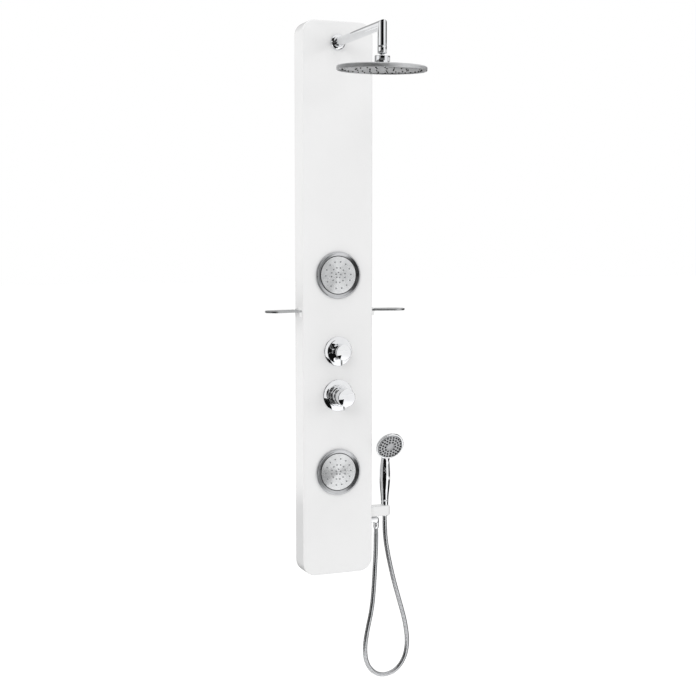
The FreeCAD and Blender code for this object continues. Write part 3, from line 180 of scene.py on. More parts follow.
def brushedShelf():
    # satin-brushed aluminium: soft streaks along the shelf's length
    material, tree, shader = newMaterial("brushedShelf", Metallic=1)
    # brush lines of 0.4 mm, some 30 mm long
    lines = speckle(tree, 1, 0, 1, stretch=(30, 2500, 2500), detail=2)
    tint(tree, shader, lines, "#ACADAE", "#BFC0C1")
    tree.links.new(speckle(tree, 60, 0.28, 0.38), shader.inputs["Roughness"])
    relief(tree, shader, lines, 0.01, 0.35)
    return material


def mouldedSilicone(name, dark, light):
    # moulded silicone rubber: a soft sheen, a little dusty
    material, tree, shader = newMaterial(name, IOR=1.43)
    tint(tree, shader, speckle(tree, 500, 0, 1), dark, light)
    tree.links.new(speckle(tree, 300, 0.5, 0.62), shader.inputs["Roughness"])
    return material


def satinSilverAbs():
    # ABS in silver lacquer: grey with a satin glow and no mirror
    material, tree, shader = newMaterial("satinSilverAbs", Metallic=0.55, IOR=1.5)
    tint(tree, shader, speckle(tree, 700, 0, 1), "#AEAFB1", "#BABBBD")
    tree.links.new(speckle(tree, 200, 0.32, 0.42), shader.inputs["Roughness"])
    return material


def interlockedSteel():
    # stainless strip wound into hose: bright crowns with soft scuffs
    material, tree, shader = newMaterial("interlockedSteel", Metallic=1)
    tint(tree, shader, speckle(tree, 180, 0, 1), "#B4B5B7", "#C6C7C9")
    tree.links.new(speckle(tree, 400, 0.08, 0.15), shader.inputs["Roughness"])
    return material


def zincPlate():
    # pressed steel with bright zinc: bluish, with the blotches of the plating bath
    material, tree, shader = newMaterial("zincPlate", Metallic=1)
    place = addNode(tree, "ShaderNodeTexCoord")
    spangle = addNode(tree, "ShaderNodeTexVoronoi", links={"Vector": place.outputs["Object"], "Scale": 160})
    tint(tree, shader, spangle.outputs["Color"], "#A4A8AE", "#C3C7CC")
    tree.links.new(speckle(tree, 120, 0.3, 0.45), shader.inputs["Roughness"])
    return material


def turnedBrass():
    # free-cutting brass, cast and turned: warm yellow, dulled in places by handling
    material, tree, shader = newMaterial("turnedBrass", Metallic=1)
    tint(tree, shader, speckle(tree, 90, 0, 1), "#B08D4A", "#D2B26C")
    tree.links.new(speckle(tree, 200, 0.22, 0.42), shader.inputs["Roughness"])
    return material


def mouldedAcetal():
    # black acetal straight from the mould: fine grain and a low sheen
    material, tree, shader = newMaterial("mouldedAcetal", IOR=1.48)
    tint(tree, shader, speckle(tree, 300, 0, 1), "#252627", "#303132")
    tree.links.new(speckle(tree, 200, 0.4, 0.55), shader.inputs["Roughness"])
    relief(tree, shader, speckle(tree, 1400, 0, 1), 0.02, 0.4)
    return material


def extrudedRubber():
    # grey rubber hose, extruded and dusted with talc: matt, with faint lines along it
    material, tree, shader = newMaterial("extrudedRubber", IOR=1.52)
    tint(tree, shader, speckle(tree, 60, 0, 1, stretch=(4, 4, 0.4)), "#85878A", "#999B9E")
    tree.links.new(speckle(tree, 150, 0.55, 0.7), shader.inputs["Roughness"])
    return material


looks = {
    "white": glossAcrylicAbs(), "chrome": polishedChrome(), "satin": satinChrome(), "plated": platedAbs(),
    "spun": spunSteel("spunSteel", anisotropy=0.9, dull=0.26),
    "headSpun": spunSteel("satinSpunSteel", anisotropy=0.3, dull=0.56), "shelf": brushedShelf(),
    "greySilicone": mouldedSilicone("greySilicone", "#86888A", "#9A9C9E"),
    "darkSilicone": mouldedSilicone("darkSilicone", "#101112", "#191A1B"),
    "silver": satinSilverAbs(), "hose": interlockedSteel(), "zinc": zincPlate(), "brass": turnedBrass(),
    "acetal": mouldedAcetal(), "rubber": extrudedRubber(),
}


# from a bmesh to a piece of the column

def finishPiece(name, work, look, body, slot, *nodes, sharp=32, bound=True):
    bmesh.ops.remove_doubles(work, verts=work.verts, dist=0.00001)
    bmesh.ops.recalc_face_normals(work, faces=work.faces)
    return keepPiece(name, work, look, body, slot, *nodes, sharp=sharp, bound=bound)


def keepPiece(name, work, look, body, slot, *nodes, sharp=32, bound=True):
    mesh = bpy.data.meshes.new(name)
    work.to_mesh(mesh)
    work.free()
    mesh.materials.append(looks[look])
    mesh.shade_smooth()
    mesh.set_sharp_from_angle(angle=math.radians(sharp))
    piece = bpy.data.objects.new(name, mesh)
    scene.collection.objects.link(piece)
    if bound:
        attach(piece, body)
    if nodes:
        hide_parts(*nodes)
    return piece


def smoothCopy(node, look, body, slot, sharp=28, weighted=False):
    # the solid's own shape, its loose triangles joined so that round faces shade as round
    work = bmesh.new()
    work.from_mesh(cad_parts[node].data)
    bmesh.ops.remove_doubles(work, verts=work.verts, dist=0.000002)
    piece = keepPiece(node + ".smooth", work, look, body, slot, node, sharp=sharp)
    if weighted:
        modifier = piece.modifiers.new("even", "WEIGHTED_NORMAL")
        modifier.keep_sharp = True
        modifier.weight = 90
    return piece


def outlinePoints(items, pieces=8):
    # points with numbers between them; a number is an arc's radius, its centre left of the way,
    # or right of it where the number is negative
    points = []
    for at, item in enumerate(items):
        if not isinstance(item, (int, float)):
            points.append(Vector(item))
            continue
        start, end = Vector(items[at - 1]), Vector(items[(at + 1) % len(items)])
        chord = end - start
        rise = math.sqrt(max(item * item - chord.length_squared / 4, 0))
        side = Vector((-chord.y, chord.x)).normalized() * (rise if item > 0 else -rise)
        centre = (start + end) / 2 + side
        first, turn = start - centre, (start - centre).angle_signed(end - centre)
        for step in range(1, pieces):
            points.append(centre + Matrix.Rotation(-turn * step / pieces, 2) @ first)
    return points


def turnOutline(work, items, centre, axis, across, steps=96, pieces=8):
    points = outlinePoints(items, pieces)
    verts = [work.verts.new(centre + across * (p.x * mm) + axis * (p.y * mm)) for p in points]
    pairs = list(zip(verts, verts[1:]))
    onAxis = points[0].x < 1e-6 and points[-1].x < 1e-6
    if not onAxis:
        pairs.append((verts[-1], verts[0]))
    edges = [work.edges.new(pair) for pair in pairs]
    bmesh.ops.spin(work, geom=verts + edges, cent=centre, axis=axis, angle=math.tau, steps=steps,
                   use_merge=True, use_duplicate=False)


def softenEdges(work, widthMm, segments=3, least=30):
    edges = [edge for edge in work.edges if len(edge.link_faces) == 2
             and edge.calc_face_angle() > math.radians(least)]
    bmesh.ops.bevel(work, geom=edges, offset=widthMm * mm, offset_type="OFFSET", affect="EDGES",
                    segments=segments, profile=0.5, material=-1, clamp_overlap=True)


def turnedPiece(name, items, centre, axis, look, body, slot, *nodes, across=rightAxis, soften=0.3,
                steps=96, mapped=False, extra=None):
    work = bmesh.new()
    turnOutline(work, items, centre, axis, across, steps)
    bmesh.ops.remove_doubles(work, verts=work.verts, dist=0.00001)
    bmesh.ops.recalc_face_normals(work, faces=work.faces)
    if soften:
        softenEdges(work, soften)
    if extra:
        extra(work)
    if mapped:
        mapTurned(work, centre, axis, across)
    return finishPiece(name, work, look, body, slot, *nodes)


def mapTurned(work, centre, axis, across):
    # U runs round the axis and V outwards in metres, for the rings that a lathe leaves
    layer = work.loops.layers.uv.new("turnedMap")
    along = axis.cross(across)
    for face in work.faces:
        middle = face.calc_center_median() - centre
        home = math.atan2(middle.dot(along), middle.dot(across))
        for loop in face.loops:
            arm = loop.vert.co - centre
            flat = arm - axis * arm.dot(axis)
            angle = math.atan2(flat.dot(along), flat.dot(across)) if flat.length > 1e-7 else home
            while angle - home > math.pi:
                angle -= math.tau
            while home - angle > math.pi:
                angle += math.tau
            loop[layer].uv = (angle * 0.05, flat.length)


def nozzleRings(name, rings, centre, axis, across, size, look, body, slot, *nodes):
    # each nozzle is a soft taper with its hole
    radius, tip, height = size
    form = [(radius, 0), (radius * 0.86, height * 0.6), (tip, height), (tip * 0.5, height),
            (tip * 0.4, height * 0.6), (0, height * 0.6)]
    along = axis.cross(across)
    work = bmesh.new()
    for ring, count, first in rings:
        for step in range(count):
            angle = math.tau * (step + first) / count
            way = across * math.cos(angle) + along * math.sin(angle)
            place = centre + way * (ring * mm)
            verts = [work.verts.new(place + way * (r * mm) + axis * (h * mm)) for r, h in form]
            edges = [work.edges.new(pair) for pair in zip(verts, verts[1:])]
            bmesh.ops.spin(work, geom=verts + edges, cent=place, axis=axis, angle=math.tau, steps=10,
                           use_merge=True, use_duplicate=False)
    base = [edge for edge in work.edges if edge.is_boundary]
    bmesh.ops.holes_fill(work, edges=base, sides=0)
    return finishPiece(name, work, look, body, slot, *nodes, sharp=50)


# shower hose

hoseSettings = {
    "radius": 5.6, "valley": 5.0, "pitch": 3.6, "sides": 20, "plainEnd": 11,
    "exit": (0.1115, -0.032, -1.0315), "end": (0.135, -0.032, -1.002),
    "route": (
        (111.5, -32, -1031.5), (111.5, -32, -1075.5), (108.5, -32.5, -1129), (105, -33.5, -1187),
        (99, -35, -1239), (86, -37, -1289), (78, -38, -1335), (83, -39, -1377), (110, -40, -1408),
        (151, -40, -1410), (184, -39, -1384), (198, -38, -1339), (191, -37, -1280), (175, -35, -1223),
        (158, -33.5, -1163), (143.5, -32.5, -1099), (135, -32, -1046), (135, -32, -1002)),
}


def routeLine(points):
    # the smooth line that the hose hangs along
    data = bpy.data.curves.new("hoseRoute", "CURVE")
    data.dimensions = "3D"
    data.resolution_u = 24
    spline = data.splines.new("NURBS")
    spline.points.add(len(points) - 1)
    for point, place in zip(spline.points, points):
        point.co = (*(Vector(place) * mm), 1)
    spline.order_u = 3
    spline.use_endpoint_u = True
    holder = bpy.data.objects.new("hoseRoute", data)
    scene.collection.objects.link(holder)
    bpy.context.view_layer.update()
    mesh = bpy.data.meshes.new_from_object(holder.evaluated_get(bpy.context.evaluated_depsgraph_get()))
    line = [vert.co.copy() for vert in mesh.vertices]
    bpy.data.objects.remove(holder)
    bpy.data.meshes.remove(mesh)
    return line


def makeHose():
    print("shower hose")
    s = hoseSettings
    line = routeLine(s["route"])
    reach = [0.0]
    for one, other in zip(line, line[1:]):
        reach.append(reach[-1] + (other - one).length)
    whole = reach[-1]

    def station(distance):
        at = 0
        while at < len(line) - 2 and reach[at + 1] < distance:
            at += 1
        share = (distance - reach[at]) / (reach[at + 1] - reach[at])
        way = (line[at + 1] - line[at]).normalized()
        if 0 < at < len(line) - 2:
            before, after = (line[at] - line[at - 1]).normalized(), (line[at + 2] - line[at + 1]).normalized()
            way = (before.lerp(way, 0.5 + share / 2) if share < 0.5 else way.lerp(after, share - 0.5)).normalized()
        return line[at].lerp(line[at + 1], share), way

    # one wind of the strip: a flat crown, a rounded shoulder and a narrow seam
    plain = s["plainEnd"] * mm
    ribs = round((whole - 2 * plain) / (s["pitch"] * mm))
    pitch = (whole - 2 * plain) / ribs
    stops = [(0, s["valley"])]
    for rib in range(ribs):
        begin = plain + rib * pitch
        for share, radius in ((0, s["valley"]), (0.12, s["radius"] - 0.06), (0.3, s["radius"]),
                              (0.6, s["radius"]), (0.78, s["radius"] - 0.06), (0.9, s["valley"])):
            stops.append((begin + pitch * share, radius))
    stops.append((whole, s["valley"]))
    work = bmesh.new()
    steady = Vector((0, 1, 0))
    ring = None
    for distance, radius in stops:
        middle, way = station(distance)
        side = way.cross(steady).normalized()
        turn = Matrix((side, way.cross(side), way)).transposed().to_4x4()
        place = Matrix.Translation(middle) @ turn @ Matrix.Diagonal((radius * mm, radius * mm, 1, 1))
        if ring is None:
            made = bmesh.ops.create_circle(work, cap_ends=True, segments=s["sides"], radius=1, matrix=place)
            ring = [work.edges.get((a, b)) for a, b in zip(made["verts"], made["verts"][1:] + made["verts"][:1])]
            last = place
            continue
        made = bmesh.ops.extrude_edge_only(work, edges=ring)
        fresh = [item for item in made["geom"] if isinstance(item, bmesh.types.BMVert)]
        bmesh.ops.transform(work, matrix=place @ last.inverted(), verts=fresh)
        ring = [item for item in made["geom"] if isinstance(item, bmesh.types.BMEdge)
                and item.verts[0] in fresh and item.verts[1] in fresh]
        last = place
    bmesh.ops.holes_fill(work, edges=ring, sides=0)
    hose = finishPiece("showerHose", work, "hose", "column", "hose_steel", "shower_hose", sharp=35, bound=False)
    return hose, line, whole


hose, hoseLine, hoseLength = makeHose()


# casing and the white pieces on it

print("casing")
smoothCopy("casing", "white", "column", "white_casing", sharp=30, weighted=True)
smoothCopy("shelf_sockets", "white", "column", "white_casing", sharp=30, weighted=True)
smoothCopy("hand_shower_holder", "white", "column", "white_casing", sharp=30, weighted=True)


# arm, flange and rain head

armSettings = {
    "radius": 10.5, "bore": 8.5, "level": 1290, "corner": 319, "tail": 35, "seam": 1245,
    "past": 14,  # how far each tube is made past the corner before the mitre cuts it
    "flange": [(10.6, 0), (19.5, 0), (19.5, 2.2), 8.9, (12.9, 9), (10.6, 9)],
    "ballLevel": 1214, "headLean": 2.8,
    "tip": [(3, -8.49), 9, (9, 0), 9, (4.5, 7.79), (4.5, 12.4), (9.6, 14.2), (10.5, 15.1), (10.5, 29.8),
            (9.9, 30.4), (9.9, 31), (3, 31)],
    "nut": [(11.3, -9.3), (16.3, -9.3), (17.5, -8.1), (17.5, 8.6), (16.3, 9.8), (9.5, 9.8), (7.6, 5.36),
            (9.24, 1), (11.3, 1)],
}
headSettings = {
    "drop": 23,
    "shell": [(3, 13.7), (3, 10.7), (15, 10.7), (91.5, 8.5), (95, 6.75), (95, 0), (99, 0), (100, 1),
              (100, 6.5), 3.5, (96.5, 10), (21, 12.9), (18, 13.7)],
    "plate": [(0, 3), (95, 3), (95, 5), (0, 5)], "recess": 3,
    "rings": ((28, 8, 0), (58, 18, 0.3), (87.5, 34, 0.2)),
    "nozzle": (1.8, 1.2, 2.2),
}


def makeArm():
    s = armSettings
    work = bmesh.new()
    centre = spot(0, s["corner"], s["level"])
    mitre = (outAxis - upAxis).normalized()
    for radius in (s["radius"], s["bore"]):
        for way, length in ((-outAxis, s["corner"] - s["tail"]), (-upAxis, s["level"] - s["seam"])):
            turn = way.to_track_quat("Z", "X").to_matrix().to_4x4()
            start = -s["past"] * mm
            depth = length * mm - start
            made = bmesh.ops.create_cone(
                work, cap_ends=False, segments=96, radius1=radius * mm, radius2=radius * mm, depth=depth,
                matrix=Matrix.Translation(centre + way * (start + depth / 2)) @ turn)
            geometry = made["verts"] + list({e for v in made["verts"] for e in v.link_edges}) + \
                list({f for v in made["verts"] for f in v.link_faces})
            # each tube ends on the mitre plane, where the other one meets it
            bmesh.ops.bisect_plane(work, geom=geometry, dist=1e-7, plane_co=centre,
                                   plane_no=mitre if way == -outAxis else -mitre,
                                   clear_outer=True)
    bmesh.ops.remove_doubles(work, verts=work.verts, dist=0.00002)
    for end in (-s["tail"] * mm, (s["seam"] - mountLevel) * mm):
        rim = [e for e in work.edges if e.is_boundary and
               all(abs((v.co.y if end == -s["tail"] * mm else v.co.z) - end) < 1e-5 for v in e.verts)]
        bmesh.ops.bridge_loops(work, edges=rim)
    bmesh.ops.recalc_face_normals(work, faces=work.faces)
    softenEdges(work, 0.35, segments=2, least=20)
    return finishPiece("showerArm", work, "chrome", "column", "polished_chrome", "shower_arm", sharp=25)


print("arm and rain head")
makeArm()
ballSpot = spot(0, armSettings["corner"], armSettings["ballLevel"])
headAxis = Matrix.Rotation(math.radians(armSettings["headLean"]), 3, "X") @ upAxis
headSpot = ballSpot - headAxis * (headSettings["drop"] * mm)
turnedPiece("armFlange", armSettings["flange"], spot(0, frontOut, armSettings["level"]), outAxis,
            "chrome", "column", "polished_chrome", "arm_flange")
turnedPiece("armTip", armSettings["tip"], ballSpot, upAxis, "chrome", "column", "polished_chrome", "arm_tip",
            soften=0.2)
turnedPiece("headNut", armSettings["nut"], ballSpot, headAxis, "chrome", "rain_head", "polished_chrome",
            "head_nut", soften=0.4)
turnedPiece("rainHeadShell", headSettings["shell"], headSpot, headAxis, "headSpun", "rain_head", "brushed_plate",
            "rain_head_shell", steps=160, mapped=True)
turnedPiece("rainHeadPlate", headSettings["plate"], headSpot, headAxis, "headSpun", "rain_head", "brushed_plate",
            "rain_head_plate", steps=160, mapped=True)
nozzleRings("rainHeadNozzles", headSettings["rings"], headSpot + headAxis * (headSettings["recess"] * mm),
            -headAxis, rightAxis, headSettings["nozzle"], "darkSilicone", "rain_head", "nozzle_rubber",
            "rain_head_nozzles")


# body jets

jetSettings = {
    "levels": {"upper": 736, "lower": 254},
    # the ring's front falls inwards to the face, which lies a little lower in a dark groove
    "bezel": [(51.5, 0), (57, 0), (57, 3), 3.2, (54.4, 6.2), (53.4, 6.2), -40, (46.9, 2.4), -47.89, (47.89, -8),
              -47.89, (46.83, -18), (51.5, -18)],
    "face": [(0, 1.8), (45.2, 1.8), (45.2, 2.6), (44.8, 3), (0, 3)], "faceOut": 3,
    "rings": ((6.5, 5, 0.2), (18, 12, 0.4), (32.5, 14, 0.1)),
    "nozzle": (1.9, 1.1, 1.9),
}
for side, jetLevel in jetSettings["levels"].items():
    print(side, "jet")
    jetSpot = spot(0, frontOut, jetLevel)
    turnedPiece(side + "JetBezel", jetSettings["bezel"], jetSpot, outAxis, "satin", "column",
                "polished_chrome", side + "_jet_bezel", steps=128)
    turnedPiece(side + "JetFace", jetSettings["face"], jetSpot, outAxis, "spun", side + "_jet",
                "brushed_plate", side + "_jet_face", steps=128, mapped=True, soften=0.2)
    nozzleRings(side + "JetNozzles", jetSettings["rings"], spot(0, frontOut + jetSettings["faceOut"], jetLevel),
                outAxis, rightAxis, jetSettings["nozzle"], "greySilicone", side + "_jet", "nozzle_rubber",
                side + "_jet_nozzles")


# diverter and mixer

valveSettings = {
    # each plate has a nearly flat brim: the diverter's rises in a hollow curve behind the knob, and the
    # mixer's in a step under its sleeve
    "diverter": {"level": 551, "knob": 19.5, "back": 8.5, "front": 38, "peg": 24,
                 "plate": [(15.1, 0), (36, 0), (36, 1), 1.6, (34.6, 2.2), 70, (28.5, 2.8), -40, (17, 8),
                           (15.1, 8)]},
    "mixer": {"level": 443, "knob": 22, "back": 31.5, "front": 58, "peg": 40,
              "plate": [(15.1, 0), (39, 0), (39, 1), 1.6, (37.6, 2.2), 116, (27.6, 3.2), (26.3, 3.6), (26.2, 8),
                        (15.1, 8)]},
    "sleeve": [(15.1, 8), (26, 8), (26, 15), (25, 16), (23.5, 16), (23.5, 30), (22.5, 31), (15.1, 31)],
    "pegRadius": 2.4, "pegReach": 32.5, "crown": 1.2, "round": 1.6,
}


def addPeg(s, reach, radius):
    # the small pin under the knob that shows how far it is turned
    def add(work):
        foot = spot(0, frontOut + s["peg"], s["level"])
        start = s["knob"] - 3
        form = [(0, start), (radius, start), (radius, reach - 0.8), 0.8, (radius - 0.8, reach), (0, reach)]
        turnOutline(work, form, foot, -upAxis, rightAxis, steps=32, pieces=4)
    return add


for name in ("diverter", "mixer"):
    print(name)
    s = valveSettings[name]
    centre = spot(0, frontOut, s["level"])
    turnedPiece(name + "Escutcheon", s["plate"], centre, outAxis, "chrome", "column", "polished_chrome",
                name + "_escutcheon", steps=128)
    radius, back, top, corner = s["knob"], s["back"], s["front"], valveSettings["round"]
    turnedPiece(name + "Knob", [
        (4, back), (radius - 1, back), (radius, back + 1), (radius, top - corner), corner,
        (radius - corner, top), radius * 9, (radius / 4, top + valveSettings["crown"]),
        (0, top + valveSettings["crown"]), (0, back + 12), (4, back + 12)],
        centre, outAxis, "chrome", name + "_knob", "polished_chrome", name + "_knob", steps=128, soften=0,
        extra=addPeg(s, valveSettings["pegReach"], valveSettings["pegRadius"]))
turnedPiece("mixerSleeve", valveSettings["sleeve"], spot(0, frontOut, valveSettings["mixer"]["level"]), outAxis,
            "chrome", "column", "polished_chrome", "mixer_sleeve", steps=128)


# shelves

shelfSettings = {"level": 650, "thickness": 5, "root": 92, "front": 50, "back": 6, "reach": 181, "end": 26,
                 "endOut": 42, "round": 1.2}


def makeShelf(name, side):
    s = shelfSettings
    work = bmesh.new()
    bmesh.ops.create_cone(work, cap_ends=True, segments=96, radius1=s["end"] * mm, radius2=s["end"] * mm,
                          depth=s["thickness"] * mm,
                          matrix=Matrix.Translation(spot((s["reach"] - s["end"]) * side, s["endOut"], s["level"])))
    for out in (s["front"], s["back"]):
        for up in (-0.5, 0.5):
            work.verts.new(spot(s["root"] * side, out, s["level"] + s["thickness"] * up))
    # the plate's straight sides run tangent from its root to the round end
    made = bmesh.ops.convex_hull(work, input=work.verts)
    bmesh.ops.delete(work, geom=list(set(made["geom_interior"] + made["geom_unused"])), context="VERTS")
    bmesh.ops.dissolve_limit(work, angle_limit=math.radians(1), verts=work.verts, edges=work.edges)
    bmesh.ops.recalc_face_normals(work, faces=work.faces)
    rim = [e for e in work.edges if e.calc_face_angle() > math.radians(60) and
           not all(abs(v.co.x - s["root"] * side * mm) < 1e-6 for v in e.verts)]
    bmesh.ops.bevel(work, geom=rim, offset=s["round"] * mm, offset_type="OFFSET", affect="EDGES", segments=4,
                    profile=0.5, material=-1, clamp_overlap=True)
    finishPiece(name, work, "shelf", "column", "brushed_plate",
                "left_shelf" if side < 0 else "right_shelf", sharp=40)


print("shelves")
makeShelf("leftShelf", -1)
makeShelf("rightShelf", 1)


# hand shower, its nuts and the outlet

handSettings = {
    "axis": (135, 32), "nutLevel": 128,
    "nut": [(0, 0), (6.2, 0), (7.2, 1), (9.2, 37), (9.2, 37.6), (8.7, 38), (8.7, 38.8), (9.3, 39.2), (9.3, 40),
            (0, 40)],
    "lowerNut": [(0, 0), (6.8, 0), (6.8, -3), (6.4, -3.4), (6.4, -4.2), (6.8, -4.6), (6.8, -10), (5.7, -15),
                 (0, -15)],
    "outlet": (111.5, 32, 113.5),
    "face": (135, 66, 309), "tilt": 25,
    "dial": [(0, -12), (4, -12), (4, -5), (31, -5), (31, -0.8), (29.4, 0.8), (11.5, 0.8), (11, 0.4), (10.5, 0.4),
             (10, 0.8), 60, (0, 1.6)],
    "rings": ((13.5, 10, 0), (20.5, 16, 0.5), (27.5, 22, 0)), "nozzle": (2.5, 2.1, 1.2), "dialOut": 0.8,
}
print("hand shower")
handX, handOut = handSettings["axis"]
tilt = math.radians(handSettings["tilt"])
sprayAxis = Vector((0, -math.cos(tilt), -math.sin(tilt)))
upperNut = turnedPiece("upperHoseNut", handSettings["nut"], spot(handX, handOut, handSettings["nutLevel"]), upAxis,
                       "chrome", "hose_nut", "polished_chrome", "upper_hose_nut", soften=0.2)
lowerNut = turnedPiece("lowerHoseNut", handSettings["lowerNut"], spot(*handSettings["outlet"]), upAxis,
                       "chrome", "column", "polished_chrome", "lower_hose_nut", soften=0.2, steps=64)
smoothCopy("hose_outlet_elbow", "chrome", "column", "polished_chrome")
smoothCopy("hand_shower", "plated", "hand_shower", "plated_plastic", sharp=35)
sprayFace = spot(*handSettings["face"])
turnedPiece("sprayDial", handSettings["dial"], sprayFace, sprayAxis, "silver", "spray_dial", "dial_plastic",
            "spray_dial", soften=0.2)
nozzleRings("sprayNozzles", handSettings["rings"], sprayFace + sprayAxis * (handSettings["dialOut"] * mm),
            sprayAxis, rightAxis, handSettings["nozzle"], "darkSilicone", "spray_dial", "nozzle_rubber",
            "spray_nozzles")

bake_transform(hose)


# the pieces inside the casing keep their solids and get their finish

insideLooks = {
    "zinc": ("upper_wall_bracket", "lower_wall_bracket", "hanger_rail", "lock_screw", "side_screws",
             "arm_locknut", "hose_ferrules"),
    "brass": ("diverter_valve_body", "mixer_valve_body", "diverter_bonnet", "mixer_bonnet",
              "diverter_spindle", "mixer_spindle", "link_pipe", "supply_inlets", "arm_elbow",
              "hose_outlet_nut", "upper_jet_stem", "lower_jet_stem"),
    "acetal": ("upper_jet_cup", "lower_jet_cup", "upper_jet_bowl", "lower_jet_bowl",
               "upper_jet_friction_ring", "lower_jet_friction_ring", "ball_friction_ring"),
    "rubber": ("riser_hose", "upper_jet_hose", "lower_jet_hose", "hand_shower_feed_hose"),
}
print("inside pieces")
for look, nodes in insideLooks.items():
    for node in nodes:
        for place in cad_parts[node].material_slots:
            place.material = looks[look]


# floor, world and lamps

def whiteAround(tree, lit, shown):
    # the camera and mirrors see plain white, and everything else the studio's own level
    path = addNode(tree, "ShaderNodeLightPath")
    seen = addNode(tree, "ShaderNodeMath", {"operation": "MAXIMUM"},
                   {0: path.outputs["Is Camera Ray"], 1: path.outputs["Is Glossy Ray"]})
    either = addNode(tree, "ShaderNodeMath", {"operation": "MAXIMUM"},
                     {0: seen.outputs[0], 1: path.outputs["Is Transmission Ray"]})
    return addNode(tree, "ShaderNodeMixShader", links={0: either.outputs[0], 1: lit, 2: shown}).outputs[0]


black = 0.006
studioSettings = {
    "worldLight": 0.66, "floorLevel": -1.5, "floorGlow": 0.36, "clothLevel": -1.47,
    # each lamp's place, size in metres and power in watts
    "lamps": (("key", (-2.2, -3.0, 1.4), 1.8, 26), ("fill", (2.4, -2.6, 0.3), 1.8, 16),
              ("top", (0.2, -0.6, 2.4), 1.6, 12), ("side", (-3.0, -0.4, 0.2), 1.8, 14)),
    # boards that only mirrors see: from azimuth, to azimuth, low, high, distance, grey
    "flags": (
        # behind and to the left: the grey left edges of the tube, the jet rings and the knobs
        (-180, -166, 0.2, 3.5, 3.2, 0.42), (-145, -108, 0.3, 0.9, 3.2, 0.3), (-147, -114, -1.45, 0.3, 3.2, 0.2),
        (-114, -62, -1.45, 0.3, 3.2, 0.25), (-135, -90, 0.9, 3.4, 3.4, black), (-90, -44, 0.9, 3.4, 3.4, black),
        (-62, -44, 0.42, 0.9, 3.3, 0.45),
        # in front, a little left: the black stripes of the tube, the valves and the jets' right sides
        (-62, -44, -1.48, 0.42, 3.5, black), (-44, -15, 0.42, 0.85, 3.4, black), (-15, 14, 0.42, 0.85, 3.4, black),
        (-44, -4, 0.85, 3.2, 3.4, black), (-44, -15, 0.1, 0.42, 3.4, 0.14), (-15, 14, 0.1, 0.42, 3.4, 0.14),
        (-44, -22, -1.22, 0.1, 3.5, black), (-22, 0, -1.22, 0.1, 3.5, black), (-44, -15, -1.48, -1.22, 3.4, black),
        (-15, 15, -1.48, -1.22, 3.4, black),
        # to the right and behind: the grey right edges
        (60, 72, -1.45, 0.8, 3.1, 0.4), (72, 108, -1.45, 0.25, 3.0, 0.05), (72, 108, 0.55, 0.8, 3.0, 0.1),
        (108, 145, -1.45, 1.6, 3.1, 0.2), (150, 180, 0.2, 3.5, 3.2, 0.42)),
    # dark cloths on the floor, in front and behind, likewise for mirrors alone
    "cloths": {
        "front": ((-1.35, -0.15), (-0.3, -0.15), (-0.15, -0.9), (0.3, -1.3), (0.88, -3.28), (-0.9, -3.35),
                  (-2.5, -2.5), (-3.1, -1.4)),
        "back": ((0.45, -0.2), (1.9, -1.2), (2.6, -0.9), (2.6, 2.4), (-2.2, 2.4), (-2.2, 0.4), (0, 0.12)),
    },
}


def addFlag(name, corners, grey):
    # a grey board for the mirrors alone
    work = bmesh.new()
    work.faces.new([work.verts.new(corner) for corner in corners])
    mesh = bpy.data.meshes.new(name)
    work.to_mesh(mesh)
    work.free()
    material, tree, shader = newMaterial(name + "Grey")
    glow = addNode(tree, "ShaderNodeEmission", links={"Color": (grey, grey, grey, 1)})
    tree.links.new(glow.outputs[0], tree.nodes["Material Output"].inputs["Surface"])
    mesh.materials.append(material)
    flag = bpy.data.objects.new(name, mesh)
    flag.visible_camera = flag.visible_diffuse = flag.visible_shadow = False
    scene.collection.objects.link(flag)


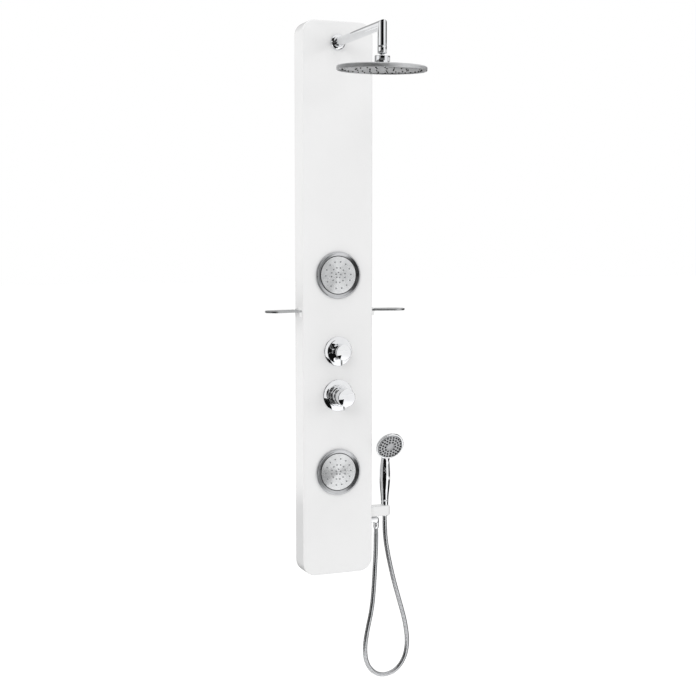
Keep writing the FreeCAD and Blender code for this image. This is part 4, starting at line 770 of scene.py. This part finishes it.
def makeStudio():
    print("studio")
    s = studioSettings
    world = bpy.data.worlds.new("studio")
    scene.world = world
    world.use_nodes = True
    tree = world.node_tree
    tree.nodes.clear()
    lit = addNode(tree, "ShaderNodeBackground", links={"Color": (1, 1, 1, 1), "Strength": s["worldLight"]})
    shown = addNode(tree, "ShaderNodeBackground", links={"Color": (1, 1, 1, 1), "Strength": 1})
    result = whiteAround(tree, lit.outputs[0], shown.outputs[0])
    addNode(tree, "ShaderNodeOutputWorld", links={"Surface": result})

    work = bmesh.new()
    bmesh.ops.create_grid(work, x_segments=1, y_segments=1, size=30,
                          matrix=Matrix.Translation((0, 0, s["floorLevel"])))
    mesh = bpy.data.meshes.new("floor")
    work.to_mesh(mesh)
    work.free()
    floor = bpy.data.objects.new("floor", mesh)
    scene.collection.objects.link(floor)
    material, tree, shader = newMaterial("paleFloor", Roughness=0.9)
    tint(tree, shader, speckle(tree, 3, 0, 1), "#FDFDFD", "#FFFFFF")
    # the floor glows a little, so that away from the shadow it is as white as the background
    glow = addNode(tree, "ShaderNodeEmission", links={"Strength": s["floorGlow"]})
    both = addNode(tree, "ShaderNodeAddShader", links={0: shader.outputs[0], 1: glow.outputs[0]})
    tree.links.new(whiteAround(tree, shader.outputs[0], both.outputs[0]),
                   tree.nodes["Material Output"].inputs["Surface"])
    mesh.materials.append(material)

    for name, place, size, power in s["lamps"]:
        data = bpy.data.lights.new(name, "AREA")
        data.shape = "SQUARE"
        data.size = size
        data.energy = power
        lamp = bpy.data.objects.new(name, data)
        lamp.location = place
        lamp.visible_glossy = False
        lamp.rotation_euler = (Vector((0, 0, -0.5)) - Vector(place)).to_track_quat("-Z", "Y").to_euler()
        scene.collection.objects.link(lamp)

    for number, (start, end, bottom, top, away, grey) in enumerate(s["flags"], start=1):
        corners = []
        for azimuth in (start, end):
            angle = math.radians(azimuth)
            for height in ((bottom, top) if azimuth == start else (top, bottom)):
                corners.append((away * math.sin(angle), -away * math.cos(angle), height))
        addFlag("flag%d" % number, corners, grey)
    for name, outline in s["cloths"].items():
        addFlag(name + "Cloth", [(x, y, s["clothLevel"]) for x, y in outline], black)


makeStudio()
